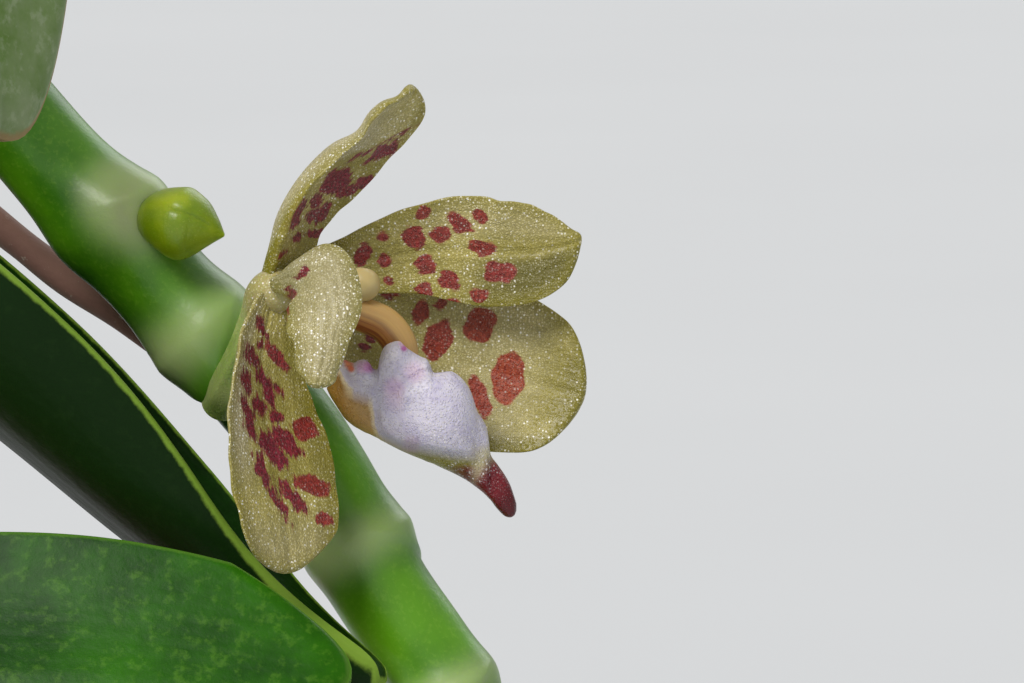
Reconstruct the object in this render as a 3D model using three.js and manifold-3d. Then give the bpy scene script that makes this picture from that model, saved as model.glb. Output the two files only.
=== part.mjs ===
// A small orchid, Pteroceras teres, in a plain clay pot of bark.
// Millimetres, +Z up. The origin is the centre of the pot's flat base.
// The flower, its buds and the rachis are written in the flower's own frame: its origin is the
// flower's centre, X runs right, Y away from the viewer and Z up, and the frame leans by LEAN.

import * as THREE from 'three';
import { mergeVertices } from 'three/addons/utils/BufferGeometryUtils.js';
import Module from 'manifold-3d';

const wasm = await Module();
wasm.setup();

// Driving dimensions
const GAP = 0.3;
const FLOWER_CENTRE = [52, -8, 108];
const LEAN = THREE.MathUtils.degToRad(8);

const ROUND = 36;
const POT = { height: 60, base: 26, belowRim: 33.5, rim: 38, rimHeight: 14, wall: 3.4, floor: 5 };
const EDGE = 1.2;
const DRAIN = { count: 5, radius: 3, ring: 14 };
const BARK = { top: 53, mound: 2.5, mouth: 14, chips: 28, seed: 11 };
const CHIP = { long: [6, 11], wide: [4, 7], deep: [2, 3.5], tilt: 0.25, fromWall: 6.5, turn: 2.4 };
const STEM = { foot: [0, 0, 40], middle: [-1.5, 0, 78], top: [-7, 0.5, 122], radius: 2.5, sheath: 0.9 };
const SHEATHS = 9;
const LEAF = { rib: 1.7, margin: 0.8 };
const TEPAL = { rib: 0.62, margin: 0.62 };
const BLADE_GRID = { rows: 11, columns: 6 };
const LIP_GRID = { rows: 10, columns: 12 };

// Blades: each row is x, y, z of the midline, left and right half-width along the surface,
// the half-angle that the section curls through, and the direction that the inner face looks.
const SEPAL_DORSAL = [
  [0.15, 0.40, 0.78, 0.50, 0.50, 0.35, 0.90, -0.15, -0.38],
  [0.42, 0.42, 1.80, 1.20, 1.40, 0.60, 0.89, -0.27, -0.36],
  [0.80, 0.45, 2.95, 1.70, 1.95, 0.80, 0.83, -0.30, -0.45],
  [1.60, 0.50, 4.20, 1.95, 2.20, 0.85, 0.74, -0.32, -0.59],
  [2.74, 0.60, 5.34, 1.95, 2.25, 0.80, 0.66, -0.34, -0.67],
  [3.96, 0.70, 6.38, 1.75, 2.10, 0.60, 0.66, -0.36, -0.66],
  [5.00, 0.70, 7.16, 1.40, 1.65, 0.40, 0.70, -0.42, -0.58],
  [5.60, 0.60, 7.84, 0.65, 0.85, 0.30, 0.72, -0.45, -0.52],
];
const SEPAL_NEAR = [
  [-0.15, -0.30, -0.55, 0.90, 0.85, 0.35, 0.72, -0.66, 0.20],
  [-0.25, -0.48, -2.00, 1.50, 1.50, 0.45, 0.72, -0.69, 0.08],
  [-0.36, -0.70, -3.40, 2.15, 2.10, 0.50, 0.77, -0.64, 0.00],
  [-0.16, -0.95, -4.90, 2.50, 2.50, 0.40, 0.74, -0.67, 0.02],
  [0.14, -1.15, -6.40, 2.70, 2.65, 0.32, 0.70, -0.71, 0.05],
  [0.42, -1.35, -7.90, 2.65, 2.55, 0.28, 0.68, -0.72, 0.10],
  [0.64, -1.50, -9.35, 2.35, 2.25, 0.25, 0.66, -0.73, 0.14],
  [0.84, -1.55, -10.75, 1.50, 1.50, 0.20, 0.64, -0.74, 0.18],
];
const SEPAL_FAR = [
  [0.80, 1.50, -1.00, 0.45, 0.45, 0.30, 0.80, -0.50, 0.30],
  [2.30, 2.85, -1.45, 1.50, 1.50, 0.36, 0.35, -0.92, 0.15],
  [4.00, 3.70, -1.85, 2.40, 2.30, 0.36, 0.15, -0.98, 0.10],
  [5.80, 4.15, -2.28, 3.00, 2.90, 0.32, 0.10, -0.99, 0.05],
  [7.60, 4.30, -2.80, 3.30, 3.15, 0.28, 0.08, -0.99, 0.05],
  [9.30, 4.15, -3.30, 3.15, 3.05, 0.26, 0.05, -0.99, 0.08],
  [10.80, 3.95, -3.70, 2.60, 2.60, 0.22, 0.00, -0.99, 0.12],
  [12.00, 3.65, -4.00, 1.70, 1.80, 0.20, -0.05, -0.98, 0.16],
];
const PETAL_NEAR = [
  [0.28, -0.62, 0.42, 0.45, 0.30, 0.20, 0.90, 0.20, -0.30],
  [0.85, -1.70, 0.60, 0.85, 0.45, 0.30, 0.86, 0.38, -0.30],
  [1.45, -2.75, 0.60, 1.25, 1.00, 0.35, 0.72, 0.60, -0.40],
  [1.90, -3.60, 0.12, 1.50, 1.50, 0.35, 0.45, 0.70, -0.55],
  [2.10, -4.25, -0.75, 1.50, 1.50, 0.32, 0.25, 0.90, -0.38],
  [2.08, -4.65, -1.80, 1.42, 1.42, 0.28, 0.18, 0.96, -0.25],
  [1.93, -4.90, -2.85, 1.15, 1.15, 0.22, 0.16, 0.98, -0.15],
  [1.75, -5.05, -3.70, 0.65, 0.65, 0.15, 0.15, 0.98, -0.10],
];
const PETAL_FAR = [
  [0.75, 1.45, 0.55, 0.42, 0.42, 0.20, 0.70, -0.60, -0.10],
  [2.20, 1.95, 0.85, 0.95, 0.95, 0.30, 0.25, -0.95, -0.10],
  [3.80, 2.25, 1.25, 1.35, 1.30, 0.32, 0.10, -0.98, -0.12],
  [5.40, 2.40, 1.55, 1.75, 1.60, 0.28, 0.05, -0.98, -0.14],
  [7.00, 2.45, 1.65, 2.10, 2.00, 0.22, 0.03, -0.98, -0.14],
  [8.60, 2.40, 1.55, 2.10, 2.10, 0.18, 0.00, -0.98, -0.12],
  [10.20, 2.25, 1.60, 1.75, 1.85, 0.15, -0.05, -0.98, -0.08],
  [11.80, 2.00, 1.90, 0.80, 0.85, 0.10, -0.10, -0.98, -0.05],
];

// The lip's trough, swept along its keel: x, y, z of the keel's inner line, half the inner width,
// the inner height of the near and far walls, and the direction from the keel to the mouth.
const LIP = [
  [2.75, 0.60, -3.40, 0.55, 0.80, 0.80, 0.30, 0.00, 0.95],
  [3.35, 0.60, -4.50, 0.90, 2.20, 1.80, 0.20, 0.00, 0.98],
  [4.40, 0.60, -5.15, 1.05, 3.40, 2.60, 0.15, 0.00, 0.99],
  [5.60, 0.60, -5.60, 1.10, 3.05, 2.60, 0.15, 0.00, 0.99],
  [6.60, 0.60, -6.05, 1.05, 3.00, 2.90, 0.15, 0.00, 0.99],
  [7.45, 0.60, -6.55, 0.75, 1.95, 1.90, 0.22, 0.00, 0.98],
];
const LIP_CURL = 1.9;
const SPUR = [
  [6.90, 0.60, -5.60, 0.80],
  [7.60, 0.60, -6.45, 0.78],
  [8.25, 0.60, -7.20, 0.62],
  [8.80, 0.60, -7.90, 0.46],
  [9.12, 0.60, -8.30, 0.36],
  [9.26, 0.60, -8.52, 0.12],
];
const COLUMN = [
  [0.80, 0.45, 0.05, 0.55],
  [1.50, 0.40, 0.15, 0.72],
  [2.50, 0.32, 0.28, 0.75],
];
const FOOT = [
  [1.60, 0.45, -0.15, 0.60],
  [3.10, 0.50, -0.75, 0.64],
  [4.35, 0.55, -1.30, 0.62],
  [5.05, 0.60, -2.05, 0.56],
];
const ANTHER = { centre: [3.42, 0.15, 0.30], along: 0.72, across: 0.66 };

// Round stems: x, y, z of the centre line and the radius.
const RACHIS = [
  [-54.0, 14.2, -12.0, 1.40],
  [-51.0, 13.2, -3.0, 1.45],
  [-46.0, 12.0, 7.0, 1.50],
  [-39.0, 10.2, 14.8, 1.60],
  [-30.0, 7.8, 19.2, 1.70],
  [-22.0, 6.2, 17.4, 1.80],
  [-15.0, 5.3, 12.2, 1.90],
  [-8.7, 5.0, 5.1, 2.00],
  [-4.1, 5.0, -0.1, 2.00],
  [-0.5, 5.0, -4.0, 2.00],
  [1.8, 5.0, -7.2, 1.95],
  [4.0, 5.0, -11.4, 1.95],
  [6.3, 5.0, -14.8, 1.90],
  [8.2, 5.0, -18.6, 1.60],
  [9.4, 5.0, -22.0, 1.10],
];
const RACHIS_NODES = [4.6, 5.9, 7.4, 8.3, 10.6, 12.2, 13.1];
const NODE_SWELL = 0.3;
const NODE_SPREAD = 0.22;
const COLLAR = [
  [-7.20, 5.30, 2.10, 1.10],
  [-6.40, 4.70, 2.65, 1.50],
  [-5.60, 3.90, 2.92, 1.55],
  [-4.80, 3.15, 2.92, 1.40],
];
const PEDICEL = [
  [-2.10, 4.30, -4.30, 0.80],
  [-1.75, 3.00, -3.55, 0.70],
  [-1.15, 1.90, -2.30, 0.62],
  [-0.68, 1.25, -1.05, 0.58],
  [-0.45, 0.95, -0.25, 0.55],
];
const BUD_SIDE = [
  [-4.90, 4.40, 2.40, 0.80],
  [-4.50, 3.10, 2.75, 0.95],
  [-4.12, 2.45, 2.85, 1.25],
  [-3.45, 2.05, 2.72, 1.45],
  [-2.85, 1.87, 2.66, 1.22],
  [-2.32, 1.70, 2.45, 0.68],
  [-2.00, 1.62, 2.18, 0.15],
];
const BUD_LOW = [
  [7.60, 4.00, -18.0, 0.50],
  [8.60, 2.60, -18.2, 0.75],
  [9.40, 1.90, -18.8, 0.95],
  [10.0, 1.50, -19.6, 0.75],
  [10.3, 1.30, -20.2, 0.15],
];
const BUD_TIP = [
  [9.58, 4.95, -22.45, 0.40],
  [10.1, 4.60, -23.4, 0.60],
  [10.7, 4.30, -24.6, 0.75],
  [11.1, 4.10, -25.6, 0.50],
  [11.2, 4.05, -26.0, 0.12],
];

// Leaves and roots, in the plant's frame.
const LEAF_A = [
  [-5.0, -1.5, 117.0, 3.4, 3.4, 1.10, -0.60, -0.10, 0.80],
  [2.0, -4.0, 127.0, 5.5, 5.5, 0.80, -0.60, -0.10, 0.80],
  [12.0, -8.0, 135.5, 7.2, 7.2, 0.55, -0.30, -0.15, 0.95],
  [23.5, -11.0, 138.5, 7.8, 7.8, 0.45, 0.20, -0.20, 0.96],
  [34.5, -13.2, 134.5, 7.6, 7.6, 0.40, 0.60, -0.35, 0.72],
  [40.6, -14.6, 124.5, 5.6, 7.0, 0.35, 0.82, -0.45, 0.35],
  [43.2, -15.3, 109.9, 5.4, 5.6, 0.30, 0.86, -0.48, 0.12],
];
const LEAF_B = [
  [-0.5, -0.5, 94.0, 3.4, 3.4, 1.20, -0.80, 0.00, 0.60],
  [6.5, -2.5, 105.0, 5.2, 5.2, 1.20, -0.70, 0.05, 0.70],
  [15.0, -4.0, 112.0, 6.6, 6.6, 1.20, -0.40, 0.08, 0.90],
  [24.5, -4.8, 113.4, 7.0, 7.0, 1.22, 0.05, 0.10, 0.99],
  [34.0, -5.0, 109.5, 7.0, 7.0, 1.25, 0.48, 0.12, 0.87],
  [41.5, -5.2, 103.9, 6.8, 6.8, 1.25, 0.62, 0.12, 0.77],
  [47.5, -5.8, 99.0, 4.9, 4.9, 1.15, 0.62, 0.10, 0.77],
  [52.6, -7.2, 95.7, 1.9, 1.9, 0.80, 0.55, 0.05, 0.83],
  [56.6, -8.6, 93.3, 0.8, 0.8, 0.40, 0.60, 0.00, 0.80],
];
const LEAF_C = [
  [1.5, -1.0, 71.0, 3.4, 3.4, 1.20, -0.70, -0.20, 0.68],
  [9.0, -5.0, 80.5, 5.2, 5.2, 0.90, -0.60, -0.40, 0.68],
  [20.0, -9.5, 87.8, 6.6, 6.6, 0.55, -0.30, -0.60, 0.72],
  [32.0, -13.0, 92.0, 7.0, 7.0, 0.35, -0.12, -0.72, 0.68],
  [44.0, -14.8, 93.5, 6.8, 6.8, 0.28, 0.00, -0.74, 0.67],
  [56.8, -15.8, 92.4, 5.2, 5.2, 0.22, 0.15, -0.74, 0.65],
];
const LEAF_D = [
  [-8.0, 0.5, 118.5, 3.0, 3.0, 1.20, 0.80, 0.00, 0.40],
  [-12.0, 1.0, 128.0, 4.4, 4.4, 1.00, 0.80, 0.00, 0.50],
  [-19.0, 2.0, 137.0, 5.6, 5.6, 0.70, 0.60, 0.05, 0.80],
  [-28.0, 3.5, 142.0, 5.8, 5.8, 0.50, 0.25, 0.05, 0.96],
  [-38.0, 5.0, 141.5, 4.2, 4.2, 0.40, -0.15, 0.05, 0.98],
];
const LEAF_E = [
  [-6.0, 1.0, 104.0, 3.4, 3.4, 1.20, 0.80, 0.00, 0.55],
  [-15.0, 2.5, 114.5, 5.6, 5.6, 0.90, 0.65, 0.00, 0.75],
  [-28.0, 4.5, 121.0, 7.2, 7.2, 0.60, 0.30, 0.05, 0.95],
  [-42.0, 6.5, 120.5, 7.6, 7.6, 0.45, -0.15, 0.05, 0.98],
  [-54.0, 8.0, 114.0, 6.8, 6.8, 0.40, -0.55, 0.05, 0.83],
  [-62.0, 9.0, 104.5, 5.0, 5.0, 0.35, -0.75, 0.05, 0.66],
];
const LEAF_F = [
  [-4.5, 0.0, 83.0, 3.4, 3.4, 1.20, 0.80, 0.00, 0.60],
  [-14.0, -1.5, 91.5, 5.6, 5.6, 0.90, 0.60, -0.05, 0.78],
  [-27.0, -3.5, 96.0, 7.4, 7.4, 0.55, 0.20, -0.10, 0.97],
  [-41.0, -5.5, 93.0, 7.6, 7.6, 0.42, -0.30, -0.10, 0.94],
  [-52.0, -7.0, 84.5, 5.6, 5.6, 0.35, -0.65, -0.10, 0.75],
];
const LEAF_G = [
  [-3.0, 0.5, 64.0, 3.2, 3.2, 1.20, 0.75, 0.00, 0.65],
  [-12.0, 3.0, 70.5, 5.0, 5.0, 0.85, 0.50, 0.05, 0.86],
  [-23.0, 6.0, 73.0, 6.6, 6.6, 0.50, 0.10, 0.05, 0.99],
  [-34.0, 9.0, 70.5, 6.4, 6.4, 0.40, -0.30, 0.05, 0.95],
  [-42.0, 11.5, 65.5, 4.6, 4.6, 0.35, -0.55, 0.05, 0.84],
];
const ROOT_FRONT = [
  [0.0, 0.0, 66.0, 1.30],
  [2.0, -5.5, 64.0, 1.25],
  [6.5, -12.5, 59.0, 1.20],
  [8.5, -15.5, 52.0, 1.15],
  [8.8, -16.2, 46.0, 0.90],
];
const ROOT_BACK = [
  [-1.0, 0.0, 70.0, 1.30],
  [-3.0, 6.0, 68.0, 1.25],
  [-8.0, 13.0, 62.0, 1.20],
  [-10.5, 16.5, 53.0, 1.15],
  [-11.0, 17.0, 46.0, 0.90],
];
const ROOT_AERIAL = [
  [-4.0, 1.0, 88.0, 0.90],
  [0.5, 7.0, 93.0, 0.90],
  [9.0, 9.0, 105.0, 0.85],
  [20.0, 8.0, 113.3, 0.80],
  [31.0, 4.6, 113.4, 0.72],
  [38.0, 1.8, 111.2, 0.66],
  [43.6, 0.9, 107.4, 0.64],
  [48.4, 0.4, 104.0, 0.64],
  [52.2, 0.0, 100.2, 0.60],
  [54.4, -0.6, 96.6, 0.45],
];

// A smooth value between the rows of a table at t from 0 to 1, by a uniform Catmull-Rom spline.
function along(table, t) {
  const last = table.length - 1;
  const place = Math.min(t * last, last - 1e-9);
  const index = Math.floor(place);
  const f = place - index;
  return table[0].map((_, k) => {
    const b = table[index][k];
    const c = table[index + 1][k];
    const a = index > 0 ? table[index - 1][k] : 2 * b - c;
    const d = index + 2 <= last ? table[index + 2][k] : 2 * c - b;
    const m = (c - a) / 2;
    const n = (d - b) / 2;
    return b + m * f + (3 * (c - b) - 2 * m - n) * f ** 2 + (2 * (b - c) + m + n) * f ** 3;
  });
}

function direction(table, t) {
  const step = 0.002;
  const before = new THREE.Vector3(...along(table, Math.max(t - step, 0)));
  const after = new THREE.Vector3(...along(table, Math.min(t + step, 1)));
  return after.sub(before).normalize();
}

// Closes a stack of rings of points. A paired ring holds a blade's inner face from left to right
// and its outer face back again, both split into triangles alike, and closes face to face.
function skin(rings, paired) {
  const size = rings[0].length;
  const half = size / 2;
  const points = rings.flat();
  const index = [];
  for (let i = 0; i + 1 < rings.length; i += 1) {
    for (let k = 0; k < size; k += 1) {
      const next = (k + 1) % size;
      const [a, b] = [i * size + k, i * size + next];
      const [d, c] = [a + size, b + size];
      if (paired && k >= half) {
        index.push(a, b, d, b, c, d);
      } else {
        index.push(a, b, c, a, c, d);
      }
    }
  }
  const top = (rings.length - 1) * size;
  if (paired) {
    for (let k = 0; k + 1 < half; k += 1) {
      const back = size - 1 - k;
      index.push(k, back, k + 1, k + 1, back, back - 1);
      index.push(top + k, top + k + 1, top + back, top + k + 1, top + back - 1, top + back);
    }
  } else {
    for (let k = 1; k + 1 < size; k += 1) {
      index.push(0, k + 1, k);
      index.push(top, top + k, top + k + 1);
    }
  }
  const geometry = new THREE.BufferGeometry();
  geometry.setAttribute('position', new THREE.Float32BufferAttribute(points.flat(), 3));
  geometry.setIndex(signedVolume(points, index) < 0 ? index.reverse() : index);
  return geometry;
}

function signedVolume(points, index) {
  let sum = 0;
  for (let i = 0; i < index.length; i += 3) {
    const [a, b, c] = [0, 1, 2].map((k) => new THREE.Vector3(...points[index[i + k]]));
    sum += a.dot(b.cross(c)) / 6;
  }
  return sum;
}

// The two faces of a blade at t along it and s across it, from -1 on its left margin to 1.
function bladePoint(table, s, t, { rib, margin }) {
  const [x, y, z, left, right, curl, nx, ny, nz] = along(table, t);
  const run = direction(table, t);
  const up = new THREE.Vector3(nx, ny, nz);
  up.addScaledVector(run, -up.dot(run)).normalize();
  const side = new THREE.Vector3().crossVectors(run, up);
  const radius = (s < 0 ? left : right) / curl;
  const thick = margin + (rib - margin) * (1 - s * s);
  return facePair([x, y, z], side, up, s * curl, radius, radius, thick);
}

// A point of an arc's section and the point behind it; tall differs from wide in an oval section.
function facePair(centre, side, up, angle, wide, tall, thick) {
  const face = new THREE.Vector3(...centre);
  face.addScaledVector(side, wide * Math.sin(angle));
  face.addScaledVector(up, tall * (1 - Math.cos(angle)));
  const outward = new THREE.Vector3();
  outward.addScaledVector(side, tall * Math.sin(angle));
  outward.addScaledVector(up, -wide * Math.cos(angle));
  const back = face.clone().addScaledVector(outward.normalize(), thick);
  return [face.toArray(), back.toArray()];
}

// A closed sheet from pairAt(s, r), the two faces at s across from -1 to 1 and r along from 0 to 1.
function sheet({ rows, columns }, pairAt) {
  const rings = [];
  for (let i = 0; i <= rows; i += 1) {
    const faces = [];
    const backs = [];
    for (let j = 0; j <= columns; j += 1) {
      const [face, back] = pairAt((2 * j) / columns - 1, i / rows);
      faces.push(face);
      backs.push(back);
    }
    rings.push([...faces, ...backs.reverse()]);
  }
  return skin(rings, true);
}

// A blade whose columns each end at their own end(s), which shapes a round or lobed tip.
function blade(table, thickness, end) {
  return sheet(BLADE_GRID, (s, r) => bladePoint(table, s, r - (1 - end(s)) * r ** 3, thickness));
}

// A round end: the margins stop this share of the length before the middle does.
const roundEnd = (share) => (s) => 1 - share * (1 - Math.sqrt(Math.max(0, 1 - s * s)));

// Two lobes parted by a notch at s = notch, the left one shorter than the right one.
const lobedEnd = (notch, shoulder, deep, short) => (s) => {
  const inLobe = s < notch ? (s + 1) / (notch + 1) : (1 - s) / (1 - notch);
  const behind = s < notch ? short * (1 - inLobe ** 4) : 0;
  return 1 - shoulder * (1 - inLobe) ** 2.5 - deep * inLobe ** 4 - behind;
};

// A tapering round stem; extra(t) swells its radius.
function tube(table, { rings, sides, extra = () => 0 }) {
  const hoops = [];
  for (let i = 0; i <= rings; i += 1) {
    const t = i / rings;
    const [x, y, z, radius] = along(table, t);
    const run = direction(table, t);
    const side = new THREE.Vector3(0, 1, 0).cross(run).normalize();
    const up = new THREE.Vector3().crossVectors(run, side);
    const hoop = [];
    for (let k = 0; k < sides; k += 1) {
      const turn = (2 * Math.PI * k) / sides;
      const point = new THREE.Vector3(x, y, z);
      point.addScaledVector(side, (radius + extra(t)) * Math.cos(turn));
      point.addScaledVector(up, (radius + extra(t)) * Math.sin(turn));
      hoop.push(point.toArray());
    }
    hoops.push(hoop);
  }
  return skin(hoops, false);
}

function toSolid(geometry) {
  const bare = geometry.clone();
  bare.deleteAttribute('normal');
  bare.deleteAttribute('uv');
  const merged = mergeVertices(bare, 1e-4);
  const vertProperties = new Float32Array(merged.attributes.position.array);
  const triVerts = new Uint32Array(merged.index.array);
  return new wasm.Manifold(new wasm.Mesh({ numProp: 3, vertProperties, triVerts }));
}

function toGeometry(solid) {
  const largest = solid.decompose().reduce((a, b) => (a.volume() > b.volume() ? a : b));
  const mesh = largest.getMesh();
  const geometry = new THREE.BufferGeometry();
  geometry.setAttribute('position', new THREE.BufferAttribute(mesh.vertProperties, 3));
  geometry.setIndex(new THREE.BufferAttribute(mesh.triVerts, 1));
  return geometry;
}

const cut = (geometry, ...tools) =>
  toGeometry(tools.reduce((solid, tool) => solid.subtract(toSolid(tool)), toSolid(geometry)));
const join = (...pieces) => toGeometry(pieces.map(toSolid).reduce((a, b) => a.add(b)));

function seededRandom(seed) {
  let state = seed;
  return () => {
    state = (state * 48271) % 2147483647;
    return state / 2147483647;
  };
}

function material(colour, roughness) {
  return new THREE.MeshStandardMaterial({ color: colour, roughness, metalness: 0 });
}
const CLAY = material(0xb5653f, 0.9);
const BARK_BROWN = material(0x5b4030, 0.95);
const STEM_GREEN = material(0x4d7d1f, 0.5);
const LEAF_GREEN = material(0x2c5a12, 0.45);
const ROOT_GREY = material(0xa9a48c, 0.85);
const RACHIS_GREEN = material(0x58931c, 0.4);
const BUD_GREEN = material(0x74890a, 0.4);
const TEPAL_STRAW = material(0xbcb878, 0.5);
const COLUMN_TAN = material(0xc28a46, 0.5);
const ANTHER_CREAM = material(0xd8c89a, 0.5);
const LIP_WHITE = material(0xd8d4e2, 0.5);

const plant = new THREE.Group();
const inflorescence = new THREE.Group();
inflorescence.position.set(...FLOWER_CENTRE);
inflorescence.rotation.x = -LEAN;
plant.add(inflorescence);
plant.updateMatrixWorld(true);

function place(group, name, geometry, look) {
  const mesh = new THREE.Mesh(geometry, look);
  mesh.name = name;
  group.add(mesh);
}

// The same stem grown by a clearance all round and at both ends, to cut its neighbours with.
function grown(table, clearance) {
  const wider = table.map(([x, y, z, radius]) => [x, y, z, radius + clearance]);
  const push = (row, t) => {
    const out = direction(table, t).multiplyScalar(t > 0 ? clearance : -clearance);
    return [row[0] + out.x, row[1] + out.y, row[2] + out.z, row[3]];
  };
  return [push(wider[0], 0), ...wider.slice(1, -1), push(wider.at(-1), 1)];
}

// Stem: each sheath widens upward to its mouth, where a blade parts from it.
function stemShape(clearance) {
  const table = [STEM.foot, STEM.middle, STEM.top].map((p) => [...p, STEM.radius]);
  const flare = (t) => STEM.sheath * ((t * SHEATHS) % 1) ** 2 * Math.min(1, 6 * t);
  return tube(grown(table, clearance), { rings: SHEATHS * 4, sides: 10, extra: flare });
}

function stemInFlowerFrame(clearance) {
  return stemShape(clearance).applyMatrix4(inflorescence.matrixWorld.clone().invert());
}

// Pot: one turned body with a rim band, and small drain holes round the middle of its floor.
function potGeometry() {
  const inside = (z) => {
    const share = (z - POT.floor) / (POT.height - POT.floor);
    return POT.base - POT.wall + share * (POT.belowRim + 1 - POT.base);
  };
  const underRim = POT.height - POT.rimHeight;
  const profile = [
    [0, 0], [POT.base - EDGE, 0], [POT.base, EDGE], [POT.belowRim, underRim - EDGE],
    [POT.rim - 2 * EDGE, underRim], [POT.rim - EDGE, underRim + EDGE], [POT.rim, POT.height - EDGE],
    [POT.rim - EDGE, POT.height], [inside(POT.height) + EDGE, POT.height],
    [inside(POT.height), POT.height - EDGE], [inside(POT.floor), POT.floor], [0, POT.floor],
  ].map(([r, z]) => new THREE.Vector2(r, z));
  const body = new THREE.LatheGeometry(profile, ROUND).rotateX(Math.PI / 2);
  const drains = [];
  for (let i = 0; i < DRAIN.count; i += 1) {
    const turn = (2 * Math.PI * i) / DRAIN.count;
    const drain = new THREE.CylinderGeometry(DRAIN.radius, DRAIN.radius, 3 * POT.floor, 16);
    drain.rotateX(Math.PI / 2).translate(DRAIN.ring * Math.cos(turn), DRAIN.ring * Math.sin(turn), 0);
    drains.push(drain);
  }
  return { pot: cut(body, ...drains), inside };
}

// Bark: a filling that follows the pot's wall, with tumbled chips sunk in its top.
function barkGeometry(inside) {
  const low = POT.floor + GAP;
  const profile = [
    [0, low], [inside(low) - GAP, low], [inside(BARK.top) - GAP, BARK.top - EDGE],
    [inside(BARK.top) - 3 * EDGE, BARK.top], [BARK.mouth, BARK.top + BARK.mound / 2],
    [0, BARK.top + BARK.mound],
  ].map(([r, z]) => new THREE.Vector2(r, z));
  const filling = new THREE.LatheGeometry(profile, ROUND).rotateX(Math.PI / 2);
  const random = seededRandom(BARK.seed);
  const between = ([least, most]) => least + (most - least) * random();
  const chips = [];
  for (let i = 0; i < BARK.chips; i += 1) {
    const chip = new THREE.BoxGeometry(between(CHIP.long), between(CHIP.wide), between(CHIP.deep));
    const tilts = [between([-CHIP.tilt, CHIP.tilt]), between([-CHIP.tilt, CHIP.tilt])];
    chip.rotateX(tilts[0]).rotateY(tilts[1]).rotateZ(between([0, 2 * Math.PI]));
    const reach = (inside(BARK.top) - CHIP.fromWall) * Math.sqrt((i + 0.5) / BARK.chips);
    const rise = BARK.top + BARK.mound * (1 - reach / inside(BARK.top)) + between([0, EDGE / 2]);
    chip.translate(reach * Math.cos(CHIP.turn * i), reach * Math.sin(CHIP.turn * i), rise);
    chips.push(chip);
  }
  const hole = [STEM.foot, STEM.middle].map((p) => [...p, STEM.radius + STEM.sheath]);
  const stemHole = tube(grown(hole, GAP), { rings: 2, sides: 12 });
  const rootHoles = [ROOT_FRONT, ROOT_BACK].map((root) => rootShape(root, GAP));
  return cut(join(filling, ...chips), stemHole, ...rootHoles);
}

function rootShape(table, clearance) {
  return tube(grown(table, clearance), { rings: table.length * 2, sides: 8 });
}

const { pot, inside } = potGeometry();
place(plant, 'pot', pot, CLAY);
place(plant, 'bark_medium', barkGeometry(inside), BARK_BROWN);
place(plant, 'stem', stemShape(0), STEM_GREEN);

const ROOTS = { front: ROOT_FRONT, back: ROOT_BACK, aerial: ROOT_AERIAL };
for (const [name, table] of Object.entries(ROOTS)) {
  place(plant, `root_${name}`, cut(rootShape(table, 0), stemShape(GAP)), ROOT_GREY);
}

const LEAVES = {
  a: [LEAF_A, lobedEnd(0.15, 0.08, 0.035, 0.04)],
  b: [LEAF_B, roundEnd(0.02)],
  c: [LEAF_C, lobedEnd(-0.2, 0.09, 0.045, 0.02)],
  d: [LEAF_D, lobedEnd(0.1, 0.1, 0.03, 0.03)],
  e: [LEAF_E, lobedEnd(-0.15, 0.08, 0.035, 0.03)],
  f: [LEAF_F, lobedEnd(0.2, 0.09, 0.04, 0.04)],
  g: [LEAF_G, lobedEnd(-0.1, 0.1, 0.045, 0.03)],
};
for (const [name, [table, end]] of Object.entries(LEAVES)) {
  const whole = blade(table, LEAF, end);
  place(plant, `leaf_${name}`, cut(whole, stemShape(GAP)), LEAF_GREEN);
}

// Rachis: a thick green axis that swells at each of its nodes, with a collar round a bud's foot.
function rachisShape(clearance) {
  const last = RACHIS.length - 1;
  const bump = (t, node) => NODE_SWELL * Math.exp(-(((t * last - node) / NODE_SPREAD) ** 2));
  const swell = (t) => RACHIS_NODES.reduce((sum, node) => sum + bump(t, node), 0);
  const stalk = tube(grown(RACHIS, clearance), { rings: 44, sides: 10, extra: swell });
  return join(stalk, tube(grown(COLLAR, clearance), { rings: 4, sides: 10 }));
}
place(inflorescence, 'rachis', cut(rachisShape(0), stemInFlowerFrame(GAP)), RACHIS_GREEN);

const bud = (table) => cut(tube(table, { rings: 9, sides: 10 }), rachisShape(GAP));
place(inflorescence, 'pedicel_ovary', cut(tube(PEDICEL, { rings: 6, sides: 8 }), rachisShape(GAP)),
  RACHIS_GREEN);
place(inflorescence, 'bud_side', bud(BUD_SIDE), BUD_GREEN);
place(inflorescence, 'bud_low', bud(BUD_LOW), BUD_GREEN);
place(inflorescence, 'bud_tip', bud(BUD_TIP), BUD_GREEN);

const TEPALS = {
  sepal_dorsal: [SEPAL_DORSAL, 0.1],
  sepal_near: [SEPAL_NEAR, 0.16],
  sepal_far: [SEPAL_FAR, 0.16],
  petal_near: [PETAL_NEAR, 0.1],
  petal_far: [PETAL_FAR, 0.08],
};
for (const [name, [table, share]] of Object.entries(TEPALS)) {
  place(inflorescence, name, blade(table, TEPAL, roundEnd(share)), TEPAL_STRAW);
}

// Column: a short body with its foot running down to the lip, and the anther cap seated on its end.
function antherShape(clearance) {
  const [long, across] = [ANTHER.along + clearance, ANTHER.across + clearance];
  return new THREE.SphereGeometry(1, 12, 8).scale(long, across, across).translate(...ANTHER.centre);
}
const columnBody = tube(COLUMN, { rings: 5, sides: 10 });
const columnFoot = tube(FOOT, { rings: 7, sides: 10 });
place(inflorescence, 'column', cut(join(columnBody, columnFoot), antherShape(GAP)), COLUMN_TAN);
place(inflorescence, 'anther_cap', antherShape(0), ANTHER_CREAM);

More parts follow.
